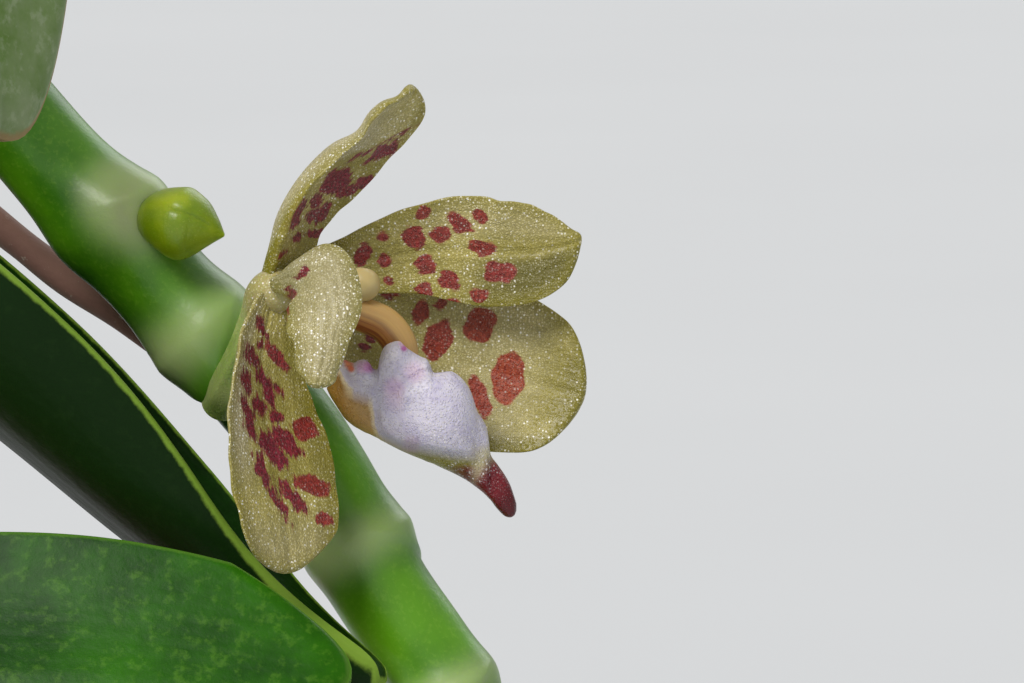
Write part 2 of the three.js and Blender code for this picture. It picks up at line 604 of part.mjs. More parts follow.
// Lip: a deep trough that closes into a solid spur.
function lipTrough() {
  return sheet(LIP_GRID, (s, r) => {
    const [x, y, z, wide, near, far, nx, ny, nz] = along(LIP, r);
    const run = direction(LIP, r);
    const up = new THREE.Vector3(nx, ny, nz);
    up.addScaledVector(run, -up.dot(run)).normalize();
    const side = new THREE.Vector3().crossVectors(run, up);
    const tall = (s * side.y < 0 ? near : far) / (1 - Math.cos(LIP_CURL));
    return facePair([x, y, z], side, up, s * LIP_CURL, wide, tall, TEPAL.rib);
  });
}
place(inflorescence, 'lip', join(lipTrough(), tube(SPUR, { rings: 9, sides: 10 })), LIP_WHITE);

export default plant;
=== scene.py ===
import math

import bpy
import numpy as np
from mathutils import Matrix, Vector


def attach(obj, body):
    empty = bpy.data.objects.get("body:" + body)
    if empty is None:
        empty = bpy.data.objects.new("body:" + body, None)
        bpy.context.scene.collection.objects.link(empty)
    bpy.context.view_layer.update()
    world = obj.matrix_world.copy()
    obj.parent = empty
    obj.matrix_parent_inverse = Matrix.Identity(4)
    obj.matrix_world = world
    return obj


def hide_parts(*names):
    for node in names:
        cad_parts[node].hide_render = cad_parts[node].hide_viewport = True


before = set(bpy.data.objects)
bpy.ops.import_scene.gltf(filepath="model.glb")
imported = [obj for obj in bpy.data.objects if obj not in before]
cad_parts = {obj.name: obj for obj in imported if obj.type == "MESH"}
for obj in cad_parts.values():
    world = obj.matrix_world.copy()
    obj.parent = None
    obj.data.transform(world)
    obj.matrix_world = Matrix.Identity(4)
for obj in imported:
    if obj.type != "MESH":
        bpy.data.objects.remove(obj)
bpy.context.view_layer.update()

# Pot: a small flower pot turned from red clay, fired and left unglazed, with five drain holes cut
# through its floor while it was wet. Watering leaves a pale bloom on its rim and its foot.
POT_OUTLINE = [(12, 0), (26, 0), (33.5, 45.4), (36.8, 46.3), (38, 60), (31.1, 60), (22.6, 5), (9, 5)]
POT_ROUNDING = [1.2, 1.0, 1.3, 1.5, 1.3, 2.0]
POT_STEPS = 170
POT_AROUND = 144
POT_WOBBLE = 0.03
POT_CREASE = 55
DRAIN_HOLES = 5
DRAIN_RADIUS = 3.0
DRAIN_RING = 14.0
DRAIN_SPAN = (-4.0, 9.0)
DRAIN_AROUND = 32


def rounded(corners, cuts, steps=7):
    """An outline with rounded corners: a parabola starts and ends the cut's length from each."""
    corners = np.asarray(corners, float)
    cuts = np.asarray(cuts, float)[:, None, None]
    here = corners[1:-1, None]
    back = corners[:-2, None] - here
    ahead = corners[2:, None] - here
    start = here + back / np.linalg.norm(back, axis=-1, keepdims=True) * cuts
    end = here + ahead / np.linalg.norm(ahead, axis=-1, keepdims=True) * cuts
    share = np.linspace(0, 1, steps)[None, :, None]
    arcs = (1 - share) ** 2 * start + 2 * share * (1 - share) * here + share**2 * end
    return np.vstack([corners[:1], arcs.reshape(-1, 2), corners[-1:]])


def evenly(outline, count):
    """The same outline with its points spaced evenly along it."""
    length = np.append(0, np.cumsum(np.linalg.norm(np.diff(outline, axis=0), axis=1)))
    places = np.linspace(0, length[-1], count)
    return np.column_stack([np.interp(places, length, column) for column in outline.T])


def full_turn(count):
    """Angles spaced evenly once round."""
    return np.linspace(0, 2 * math.pi, count, endpoint=False)


def turned(outline, around, wobble=0.0):
    """Rings of a turned shape: radius and height from the outline, the radius wavy by wobble."""
    angle = full_turn(around)[None]
    radius, height = outline[:, :1], outline[:, 1:]
    radius = radius + wobble * (np.sin(2 * angle + height / 9) + np.sin(height * 2.3) / 2)
    return np.stack([radius * np.cos(angle), radius * np.sin(angle), height + 0 * angle], -1)


def ring_faces(count, around):
    """Faces between neighbouring rings, and strips of faces across the first and last ring."""
    grid = np.arange(count * around).reshape(count, around)
    beside = np.roll(grid, -1, axis=1)
    sides = np.stack([grid[:-1], beside[:-1], beside[1:], grid[1:]], -1).reshape(-1, 4)
    half = around // 2
    k = np.arange(1, half - 1)
    strips = np.stack([k, k + 1, around - k - 1, around - k], -1)
    points = np.array([[0, 1, around - 1], [half - 1, half, half + 1]])
    quads = np.vstack([sides, grid[0][strips[:, ::-1]], grid[-1][strips]])
    threes = np.vstack([grid[0][points[:, ::-1]], grid[-1][points]])
    return quads, threes


def volume(points, quads):
    """Sum of the corner products of the two triangles of each face, which is six volumes."""
    a, b, c, d = (points[quads[:, k]] for k in range(4))
    return np.sum(a * np.cross(b, c)) + np.sum(a * np.cross(c, d))


def placed(name, data):
    """A new object that holds the data, put into the scene."""
    made = bpy.data.objects.new(name, data)
    bpy.context.scene.collection.objects.link(made)
    return made


def skin(name, stacks, material, crease=40):
    """A closed mesh over each stack of rings of points, its faces turned to look outwards. An edge
    bent by more than the crease's degrees stays crisp."""
    points, faces, start = [], [], 0
    for rings in stacks:
        flat = rings.reshape(-1, 3)
        quads, threes = ring_faces(*rings.shape[:2])
        if volume(flat - flat.mean(0), quads) < 0:
            quads, threes = quads[:, ::-1], threes[:, ::-1]
        points.append(flat)
        faces += (quads + start).tolist() + (threes + start).tolist()
        start += len(flat)
    mesh = bpy.data.meshes.new(name)
    mesh.from_pydata(np.vstack(points) / 1000, [], faces)
    mesh.polygons.foreach_set("use_smooth", np.ones(len(mesh.polygons), bool))
    mesh.set_sharp_from_angle(angle=math.radians(crease))
    mesh.materials.append(material)
    return placed(name, mesh)


def carved(piece, cutter):
    """Takes the cutter's shape out of the piece."""
    carve = piece.modifiers.new("carve", "BOOLEAN")
    carve.object = cutter
    carve.operation = "DIFFERENCE"
    shaped = piece.evaluated_get(bpy.context.evaluated_depsgraph_get())
    mesh = bpy.data.meshes.new_from_object(shaped)
    piece.modifiers.clear()
    piece.data = mesh
    bpy.data.objects.remove(cutter)


def seat(piece, node):
    """The piece stands for a solid of the frame: it hangs from the root body, and that solid is hidden."""
    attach(piece, "root")
    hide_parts(node)


def colour(red, green, blue):
    """A colour given as it looks on a screen, 0 to 255, turned to linear light."""
    c = np.array([red, green, blue]) / 255
    linear = np.where(c <= 0.04045, c / 12.92, ((c + 0.055) / 1.055) ** 2.4)
    return (*linear.tolist(), 1.0)


def node(tree, kind, inputs, **settings):
    """One shader node, its inputs filled with values or joined to other nodes' outputs."""
    made = tree.nodes.new("ShaderNode" + kind)
    for setting, value in settings.items():
        setattr(made, setting, value)
    for socket, value in inputs.items():
        if isinstance(value, bpy.types.NodeSocket):
            tree.links.new(value, made.inputs[socket])
        else:
            made.inputs[socket].default_value = value
    return made


def noise(tree, where, scale, detail=4.0, roughness=0.5, distortion=0.0):
    """Cloudy noise from 0 to 1, with scale waves to the metre."""
    inputs = {"Vector": where, "Scale": scale, "Detail": detail}
    inputs |= {"Roughness": roughness, "Distortion": distortion}
    return node(tree, "TexNoise", inputs).outputs["Fac"]


def cells(tree, where, scale, feature="F1"):
    """Scattered cells, scale of them to the metre: the distance to their middle and a random tint."""
    made = node(tree, "TexVoronoi", {"Vector": where, "Scale": scale}, feature=feature)
    return made.outputs["Distance"], made.outputs["Color"]


def fade(tree, value, low, high):
    """0 at low and 1 at high, easing between them."""
    inputs = {"Value": value, "From Min": low, "From Max": high}
    return node(tree, "MapRange", inputs, interpolation_type="SMOOTHSTEP").outputs["Result"]


def maths(tree, operation, first, *others):
    """The first number taken through one operation with each of the others in turn."""
    for other in others:
        first = node(tree, "Math", {0: first, 1: other}, operation=operation).outputs[0]
    return first


def times(tree, *numbers):
    """The product of the numbers."""
    return maths(tree, "MULTIPLY", *numbers)


def plus(tree, *numbers):
    """The sum of the numbers."""
    return maths(tree, "ADD", *numbers)


def mix(tree, share, first, second, blend="MIX"):
    """The first colour turned into the second by a share from 0 to 1."""
    made = node(tree, "Mix", {0: share, 6: first, 7: second}, data_type="RGBA", blend_type=blend)
    return made.outputs[2]


def relief(tree, height, depth, under=None):
    """A surface raised by depth metres where the height is 1, over another relief."""
    inputs = {"Height": height, "Distance": depth, "Strength": 1.0}
    if under is not None:
        inputs["Normal"] = under
    return node(tree, "Bump", inputs).outputs["Normal"]


def finish(name, build, constants):
    """A material with constants on its shader's sockets, and what build makes joined to the rest."""
    made = bpy.data.materials.new(name)
    made.use_nodes = True
    tree = made.node_tree
    shader = tree.nodes["Principled BSDF"]
    for socket, value in constants.items():
        shader.inputs[socket].default_value = value
    where = node(tree, "TexCoord", {}).outputs["Object"]
    for socket, output in build(tree, where).items():
        tree.links.new(output, shader.inputs[socket])
    return made


def clay_finish(tree, where):
    """Red clay with cloudy firing marks, pores, and bloom that gathers high and low on the pot."""
    height = node(tree, "SeparateXYZ", {0: where}).outputs["Z"]
    clouds = noise(tree, where, 60, 6)
    fine = noise(tree, where, 900, 6, 0.7)
    pores, _ = cells(tree, where, 1400)
    body = mix(tree, fade(tree, clouds, 0.35, 0.65), colour(160, 82, 50), colour(190, 110, 72))
    body = mix(tree, fade(tree, fine, 0.45, 0.7), body, colour(205, 132, 92))
    foot = fade(tree, height, 0.014, 0.002)
    rim = fade(tree, height, 0.052, 0.06)
    reach = maths(tree, "MAXIMUM", foot, rim)
    patches = fade(tree, noise(tree, where, 130, 7, 0.65), 0.48, 0.7)
    bloom = times(tree, patches, plus(tree, times(tree, reach, 0.75), 0.12))
    body = mix(tree, bloom, body, colour(214, 200, 182))
    pits = relief(tree, fade(tree, pores, 0.0, 0.25), 0.00006)
    grain = relief(tree, fine, 0.00012, pits)
    return {"Base Color": body, "Normal": grain}


clay = finish("clay", clay_finish, {"Roughness": 0.88, "Specular IOR Level": 0.3})
pot_profile = evenly(rounded(POT_OUTLINE, POT_ROUNDING), POT_STEPS)
clay_pot = skin("clay_pot", [turned(pot_profile, POT_AROUND, POT_WOBBLE)], clay, POT_CREASE)
hole_angles = full_turn(DRAIN_HOLES)
hole = turned(np.array([(DRAIN_RADIUS, height) for height in DRAIN_SPAN]), DRAIN_AROUND)
hole_middles = DRAIN_RING * np.column_stack([np.cos(hole_angles), np.sin(hole_angles), 0 * hole_angles])
carved(clay_pot, skin("drain_cutter", [hole + middle for middle in hole_middles], clay))
seat(clay_pot, "pot")

# Bark: chips of pine bark tumbled into the pot round the roots, darker and damper further down.
# They lie loose, so each chip has its own size, tilt and tone.
BARK_OUTLINE = [(10, 5.3), (22.3, 5.3), (29.7, 51.0), (24, 52.2), (12, 53.4), (2, 54)]
CHIPS = 210
CHIP_GRID = (8, 12)
CHIP_LONG = (4.5, 9.5)
CHIP_WIDE = (3.2, 6.4)
CHIP_THICK = (1.5, 3.0)
CHIP_BOXINESS = 0.55
CHIP_ROUGHNESS = (0.82, 1.1)
CHIP_TILT = 0.28
CHIP_JITTER = 0.8
CHIP_POLE = 0.96
CHIP_REACH = 26.5
CHIP_SEED = 11
# The golden angle, from each chip to the next, in radians.
CHIP_TURN = 2.39996
BARK_RISE = (52.6, 2.6)
BARK_HEAP = (-0.4, 1.3)
BARK_ROUNDING = [0.8, 1.2, 0.8, 0.8]
BARK_GRID = (70, 96)
BARK_WOBBLE = 0.05
# Where the stem and roots go in: x, y and how far off the chips stay.
ROOT_HOLES = [(0, 0, 4.6), (8.5, -15.5, 2.6), (-10.5, 16.5, 2.6)]


def turns_about(axis, angles):
    """One matrix for each angle, which turns by it about the axis: 0 for x, 1 for y, 2 for z."""
    first, second = (axis + 1) % 3, (axis + 2) % 3
    turns = np.zeros((3, 3, len(angles)))
    turns[axis, axis] = 1
    turns[first, first] = turns[second, second] = np.cos(angles)
    turns[first, second] = -np.sin(angles)
    turns[second, first] = np.sin(angles)
    return turns


def bark_chips():
    """Boxy lumps: each axis of a sphere raised to a low power, roughened, tilted and laid in place
    on a spiral whose reach grows with the root of the chip's number. Gives each chip's tone too."""
    random = np.random.RandomState(CHIP_SEED)
    index = np.arange(CHIPS)
    reach = CHIP_REACH * np.sqrt((index + 0.5) / CHIPS)
    middle = np.column_stack([reach * np.cos(CHIP_TURN * index), reach * np.sin(CHIP_TURN * index)])
    middle += random.uniform(-CHIP_JITTER, CHIP_JITTER, middle.shape)
    clear = [np.hypot(middle[:, 0] - x, middle[:, 1] - y) > gap for x, y, gap in ROOT_HOLES]
    rise = BARK_RISE[0] + BARK_RISE[1] * (1 - reach / CHIP_REACH) + random.uniform(*BARK_HEAP, CHIPS)
    rows, around = CHIP_GRID
    high = np.linspace(-CHIP_POLE, CHIP_POLE, rows)[:, None] * math.pi / 2
    turn = full_turn(around)[None]
    ball = np.stack([np.cos(high) * np.cos(turn), np.cos(high) * np.sin(turn), np.sin(high) + 0 * turn], -1)
    lump = np.sign(ball) * np.abs(ball) ** CHIP_BOXINESS
    lumps = lump[None] * random.uniform(*CHIP_ROUGHNESS, (CHIPS, rows, around, 1))
    sizes = [random.uniform(*span, CHIPS) for span in (CHIP_LONG, CHIP_WIDE, CHIP_THICK)]
    lumps = lumps * (np.stack(sizes, -1) / 2)[:, None, None]
    spin = random.uniform(0, 2 * math.pi, CHIPS)
    lean = random.normal(0, CHIP_TILT, (2, CHIPS))
    matrices = turns_about(2, spin), turns_about(1, lean[1]), turns_about(0, lean[0])
    turned_by = np.einsum("ijn,jkn,kln->nil", *matrices)
    lumps = np.einsum("nil,nabl->nabi", turned_by, lumps)
    lumps += np.column_stack([middle, rise])[:, None, None]
    return lumps[np.all(clear, axis=0)], random.uniform(0, 1, CHIPS)


def mark(piece, name, values, kind="FLOAT", field="value"):
    """A number, vector or colour for each point of a piece, which its material reads by name."""
    kept = piece.data.attributes.new(name, kind, "POINT")
    kept.data.foreach_set(field, np.asarray(values, np.float32).ravel())


def read(tree, name, output="Fac"):
    """What the piece holds at each point under this name."""
    return node(tree, "Attribute", {}, attribute_name=name).outputs[output]


def bark_finish(tree, where):
    """Red-brown to grey bark, flaky along its grain, paler on some chips than on others."""
    tone = read(tree, "chip")
    flakes = noise(tree, where, 420, 8, 0.7, 0.6)
    fine = noise(tree, where, 2600, 5, 0.6)
    body = mix(tree, tone, colour(70, 44, 30), colour(122, 84, 58))
    body = mix(tree, fade(tree, flakes, 0.42, 0.62), body, colour(150, 112, 84))
    body = mix(tree, fade(tree, fine, 0.55, 0.75), body, colour(48, 30, 22))
    rough = relief(tree, flakes, 0.0009)
    return {"Base Color": body, "Normal": relief(tree, fine, 0.0002, rough)}


bark = finish("bark", bark_finish, {"Roughness": 0.92, "Specular IOR Level": 0.2})
bark_profile = evenly(rounded(BARK_OUTLINE, BARK_ROUNDING), BARK_GRID[0])
filling = turned(bark_profile, BARK_GRID[1], BARK_WOBBLE)
chips, chip_tones = bark_chips()
bark_filling = skin("bark_filling", [filling, *chips], bark)
tones = [np.zeros(filling.shape[:2]).ravel(), np.repeat(chip_tones[: len(chips)], chips[0, ..., 0].size)]
mark(bark_filling, "chip", np.concatenate(tones))
seat(bark_filling, "bark_medium")

# Stem: a short upright stem wrapped in the sheaths of its leaves, each clasping the one above.
# A leaf's blade breaks off its sheath at a joint, so old sheaths stay on as dry straw-green cups.
SHEATHS = 9
SHEATH_FLARE = 0.95
SHEATH_WALL = 0.35
SHEATH_INSIDE = 0.7
SHEATH_SLANT = 0.9
SHEATH_RINGS = (22, 6)
SHEATH_AROUND = 48
STEM_CREASE = 50
# A line's rows, here and further on: x, y, z and radius.
STEM_LINE = [(0, 0, 40, 2.4), (-1.5, 0, 78, 2.4), (-7, 0.5, 122, 2.4)]
HEADING_STEP = 0.002


def curve(rows, t):
    """Values between rows of numbers at t from 0 to 1: a cubic that leaves and reaches each row
    with half the step between that row's neighbours."""
    rows = np.asarray(rows, float)
    last = len(rows) - 1
    full = np.vstack([2 * rows[0] - rows[1], rows, 2 * rows[-1] - rows[-2]])
    place = np.clip(np.asarray(t, float) * last, 0, last - 1e-9)
    index = place.astype(int)
    f = (place - index)[..., None]
    a, b, c, d = full[index], full[index + 1], full[index + 2], full[index + 3]
    m, n = (c - a) / 2, (d - b) / 2
    return b + m * f + (3 * (c - b) - 2 * m - n) * f**2 + (2 * (b - c) + m + n) * f**3


def unit(vectors):
    """The vectors at length one."""
    return vectors / np.linalg.norm(vectors, axis=-1, keepdims=True)


def heading(rows, t):
    """The way the rows' line runs at t."""
    ahead = curve(rows, np.minimum(t + HEADING_STEP, 1))
    behind = curve(rows, np.maximum(t - HEADING_STEP, 0))
    return unit((ahead - behind)[..., :3])


def tube(rows, rings, around, extra=None):
    """Rings round a line: each point lies off it by the row's radius, plus extra(t, angle)."""
    t = np.linspace(0, 1, rings)[:, None] if np.isscalar(rings) else np.asarray(rings)[:, None]
    t, angle = np.broadcast_arrays(t, full_turn(around)[None])
    line, run = curve(rows, t), heading(rows, t)
    side = unit(np.cross([0.0, 1.0, 0.0], run))
    up = np.cross(run, side)
    radius = line[..., 3] + (0 if extra is None else extra(t, angle))
    spoke = side * np.cos(angle)[..., None] + up * np.sin(angle)[..., None]
    return line[..., :3] + radius[..., None] * spoke


def sheath(number):
    """One cup round the stem: its wall flares with the square of its height, then turns back
    inside, and its mouth slants down towards the side that the blade leaves from."""
    rising, inside = SHEATH_RINGS
    height = np.append(np.linspace(0, 1, rising), np.linspace(1, SHEATH_INSIDE, inside))
    inner = np.append(np.zeros(rising), np.full(inside, SHEATH_WALL))
    t = (number + height) / SHEATHS
    flare = SHEATH_FLARE * height**2 * np.minimum(1, 6 * t) - inner
    rings = tube(STEM_LINE, t, SHEATH_AROUND, lambda _, angle: flare[:, None] + 0 * angle)
    high_side = np.cos(full_turn(SHEATH_AROUND)) * (1 if number % 2 else -1)
    rings[..., 2] += SHEATH_SLANT * height[:, None] ** 3 * (high_side - 1)
    return rings


def stem_finish(tree, where):
    """Green sheaths with pale ribs along them, drying to straw low on the stem."""
    height = node(tree, "SeparateXYZ", {0: where}).outputs["Z"]
    stretched = node(tree, "Mapping", {"Vector": where, "Scale": (1.0, 1.0, 0.08)}).outputs[0]
    ribs = noise(tree, stretched, 1500, 3)
    spots = noise(tree, where, 350, 6)
    body = mix(tree, ribs, colour(64, 104, 26), colour(118, 150, 60))
    dry = fade(tree, plus(tree, height, times(tree, spots, 0.03)), 0.098, 0.072)
    straw = mix(tree, ribs, colour(128, 110, 66), colour(186, 170, 120))
    body = mix(tree, dry, body, straw)
    body = mix(tree, fade(tree, spots, 0.62, 0.75), body, colour(92, 74, 40))
    return {"Base Color": body, "Normal": relief(tree, ribs, 0.00012)}


stem_skin = finish("stem_skin", stem_finish, {"Roughness": 0.55})
leaf_stem = skin("leaf_stem", [sheath(number) for number in range(SHEATHS)], stem_skin, STEM_CREASE)
seat(leaf_stem, "stem")

# Roots: thick round roots in a silvery sponge skin. Two grow down into the bark, and one hangs
# in the air behind the flower, flushed pink-brown, with a green growing tip.
ROOTS = {
    "root_front": [
        (0.0, 0.0, 66.0, 1.30),
        (2.0, -5.5, 64.0, 1.25),
        (6.5, -12.5, 59.0, 1.20),
        (8.5, -15.5, 52.0, 1.15),
        (8.8, -16.2, 46.0, 0.90),
    ],
    "root_back": [
        (-1.0, 0.0, 70.0, 1.30),
        (-3.0, 6.0, 68.0, 1.25),
        (-8.0, 13.0, 62.0, 1.20),
        (-10.5, 16.5, 53.0, 1.15),
        (-11.0, 17.0, 46.0, 0.90),
    ],
    "root_aerial": [
        (-4.0, 1.0, 88.0, 0.90),
        (0.5, 7.0, 93.0, 0.90),
        (9.0, 9.0, 105.0, 0.85),
        (20.0, 8.0, 113.3, 0.80),
        (31.0, 4.6, 113.4, 0.72),
        (38.0, 1.8, 111.2, 0.66),
        (43.6, 0.9, 107.4, 0.64),
        (48.4, 0.4, 104.0, 0.64),
        (52.2, 0.0, 100.2, 0.60),
        (54.4, -0.6, 96.6, 0.45),
    ],
}
# How far each root's colours run towards those of the growing tip.
ROOT_FLUSH = {"root_front": 0.2, "root_back": 0.2, "root_aerial": 1.0}
ROOT_RINGS = 150
ROOT_AROUND = 32
ROOT_PLACES = 1 - (1 - np.linspace(0, 1, ROOT_RINGS)) ** 1.3


def domed(t, start):
    """1 along a stem, then a quarter circle down to nearly 0 from start to its end."""
    share = np.clip((t - start) / (1 - start), 0, 0.985)
    return np.sqrt(1 - share**2)


def root(rows):
    """A tube whose radius wavers gently along it and closes in a dome."""
    radius = curve(rows, ROOT_PLACES)[:, 3:]
    waver = lambda at, angle: 0.05 * np.sin(31 * at + angle) + 0.03 * np.sin(77 * at - 2 * angle)
    shape = lambda at, angle: (radius + waver(at, angle)) * domed(at, 0.975) - radius
    return tube(rows, ROOT_PLACES, ROOT_AROUND, shape)


def root_finish(tree, where):
    """Silver-grey skin, clouded and scurfy, going pink-brown and then green at the tip."""
    tip = read(tree, "tip")
    scurf = noise(tree, where, 1800, 7, 0.65)
    clouds = noise(tree, where, 260, 5)
    body = mix(tree, fade(tree, clouds, 0.35, 0.65), colour(150, 144, 124), colour(186, 182, 164))
    flush = fade(tree, tip, 0.25, 0.5)
    body = mix(tree, flush, body, mix(tree, clouds, colour(112, 78, 70), colour(150, 112, 98)))
    body = mix(tree, fade(tree, tip, 0.955, 0.985), body, colour(96, 130, 40))
    body = mix(tree, fade(tree, scurf, 0.6, 0.75), body, colour(205, 198, 182))
    return {"Base Color": body, "Normal": relief(tree, scurf, 0.00005)}


root_skin = finish("root_skin", root_finish, {"Roughness": 0.8, "Sheen Weight": 0.15})
for root_name, root_line in ROOTS.items():
    grown_root = skin("grown_" + root_name, [root(root_line)], root_skin)
    mark(grown_root, "tip", ROOT_FLUSH[root_name] * np.repeat(ROOT_PLACES, ROOT_AROUND))
    seat(grown_root, root_name)

# Leaves: leathery straps that arch off the stem, each grooved along its middle. Most are notched
# at the tip into two unequal lobes, and the rim is thin, ragged and paler.
FOLDED_END = 0.02
LEAF_RIB = 1.5
LEAF_RIM = 0.6
LEAF_GRID = (150, 88)
LEAF_TAPER = 40
BLADE_CREASE = 75
BLADE_END = 0.972
# A blade's rows: x, y, z, the half width to its left and right, the half angle of the arc across
# it in radians, and the way that its inner face looks.
LEAVES = {
    "leaf_a": [
        (-5.0, -1.5, 117.0, 3.4, 3.4, 1.10, -0.60, -0.10, 0.80),
        (2.0, -4.0, 127.0, 5.5, 5.5, 0.80, -0.60, -0.10, 0.80),
        (12.0, -8.0, 135.5, 7.2, 7.2, 0.55, -0.30, -0.15, 0.95),
        (23.5, -11.0, 138.5, 7.8, 7.8, 0.45, 0.20, -0.20, 0.96),
        (34.5, -13.2, 134.5, 7.6, 7.6, 0.40, 0.60, -0.35, 0.72),
        (40.6, -14.6, 124.5, 5.6, 7.0, 0.35, 0.82, -0.45, 0.35),
        (43.2, -15.3, 109.9, 5.4, 5.6, 0.30, 0.86, -0.48, 0.12),
    ],
    "leaf_b": [
        (-0.5, -0.5, 94.0, 3.4, 3.4, 1.20, -0.80, 0.00, 0.60),
        (6.5, -2.5, 105.0, 5.2, 5.2, 1.20, -0.70, 0.05, 0.70),
        (15.0, -4.0, 112.0, 6.6, 6.6, 1.20, -0.40, 0.08, 0.90),
        (24.5, -4.8, 113.4, 7.0, 7.0, 1.22, 0.05, 0.10, 0.99),
        (34.0, -5.0, 109.5, 7.0, 7.0, 1.25, 0.48, 0.12, 0.87),
        (41.5, -5.2, 103.9, 6.8, 6.8, 1.25, 0.62, 0.12, 0.77),
        (47.5, -5.8, 99.0, 4.9, 4.9, 1.15, 0.62, 0.10, 0.77),
        (52.6, -7.2, 95.7, 1.9, 1.9, 0.80, 0.55, 0.05, 0.83),
        (56.6, -8.6, 93.3, 0.8, 0.8, 0.40, 0.60, 0.00, 0.80),
    ],
    "leaf_c": [
        (1.5, -1.0, 71.0, 3.4, 3.4, 1.20, -0.70, -0.20, 0.68),
        (9.0, -5.0, 80.5, 5.2, 5.2, 0.90, -0.60, -0.40, 0.68),
        (20.0, -9.5, 87.8, 6.6, 6.6, 0.55, -0.30, -0.60, 0.72),
        (32.0, -13.0, 92.0, 7.0, 7.0, 0.35, -0.12, -0.72, 0.68),
        (44.0, -14.8, 93.5, 6.8, 6.8, 0.28, 0.00, -0.74, 0.67),
        (56.8, -15.8, 92.4, 5.2, 5.2, 0.22, 0.15, -0.74, 0.65),
    ],
    "leaf_d": [
        (-8.0, 0.5, 118.5, 3.0, 3.0, 1.20, 0.80, 0.00, 0.40),
        (-12.0, 1.0, 128.0, 4.4, 4.4, 1.00, 0.80, 0.00, 0.50),
        (-19.0, 2.0, 137.0, 5.6, 5.6, 0.70, 0.60, 0.05, 0.80),
        (-28.0, 3.5, 142.0, 5.8, 5.8, 0.50, 0.25, 0.05, 0.96),
        (-38.0, 5.0, 141.5, 4.2, 4.2, 0.40, -0.15, 0.05, 0.98),
    ],
    "leaf_e": [
        (-6.0, 1.0, 104.0, 3.4, 3.4, 1.20, 0.80, 0.00, 0.55),
        (-15.0, 2.5, 114.5, 5.6, 5.6, 0.90, 0.65, 0.00, 0.75),
        (-28.0, 4.5, 121.0, 7.2, 7.2, 0.60, 0.30, 0.05, 0.95),
        (-42.0, 6.5, 120.5, 7.6, 7.6, 0.45, -0.15, 0.05, 0.98),
        (-54.0, 8.0, 114.0, 6.8, 6.8, 0.40, -0.55, 0.05, 0.83),
        (-62.0, 9.0, 104.5, 5.0, 5.0, 0.35, -0.75, 0.05, 0.66),
    ],
    "leaf_f": [
        (-4.5, 0.0, 83.0, 3.4, 3.4, 1.20, 0.80, 0.00, 0.60),
        (-14.0, -1.5, 91.5, 5.6, 5.6, 0.90, 0.60, -0.05, 0.78),
        (-27.0, -3.5, 96.0, 7.4, 7.4, 0.55, 0.20, -0.10, 0.97),
        (-41.0, -5.5, 93.0, 7.6, 7.6, 0.42, -0.30, -0.10, 0.94),
        (-52.0, -7.0, 84.5, 5.6, 5.6, 0.35, -0.65, -0.10, 0.75),
    ],
    "leaf_g": [
        (-3.0, 0.5, 64.0, 3.2, 3.2, 1.20, 0.75, 0.00, 0.65),
        (-12.0, 3.0, 70.5, 5.0, 5.0, 0.85, 0.50, 0.05, 0.86),
        (-23.0, 6.0, 73.0, 6.6, 6.6, 0.50, 0.10, 0.05, 0.99),
        (-34.0, 9.0, 70.5, 6.4, 6.4, 0.40, -0.30, 0.05, 0.95),
        (-42.0, 11.5, 65.5, 4.6, 4.6, 0.35, -0.55, 0.05, 0.84),
    ],
}
# Each tip's notch across the blade, the lobes' rounding, the notch's depth, the short lobe's lag,
# and what the whole tip falls short of the midline's end.
LEAF_TIPS = {
    "leaf_a": (0.02, 0.08, 0.02, 0.012, 0.035),
    "leaf_c": (-0.2, 0.09, 0.045, 0.02, 0),
    "leaf_d": (0.1, 0.1, 0.03, 0.03, 0),
    "leaf_e": (-0.15, 0.08, 0.035, 0.03, 0),
    "leaf_f": (0.2, 0.09, 0.04, 0.04, 0),
    "leaf_g": (-0.1, 0.1, 0.045, 0.03, 0),
}


def round_end(share):
    """Where each line along a blade ends: the margins stop this share short of the middle."""
    return lambda s: 1 - share * (1 - np.sqrt(np.clip(1 - s * s, 0, 1)))


def lobed_end(notch, shoulder, deep, short, cut):
    """Two lobes parted by a notch that is steeper on the right, the left one shorter: powers of
    the distance from a margin."""

    def end(s):
        left = s < notch
        inside = np.where(left, (s + 1) / (notch + 1), (1 - s) / (1 - notch))
        behind = np.where(left, short * (1 - inside**4), 0)
        dip = deep * inside ** np.where(left, 4, 9)
        return 1 - cut - shoulder * (1 - inside) ** 2.5 - dip - behind

    return end


def bell(off, width):
    """A bell curve, the exponential of minus the square of off over the width."""
    return np.exp(-((off / width) ** 2))


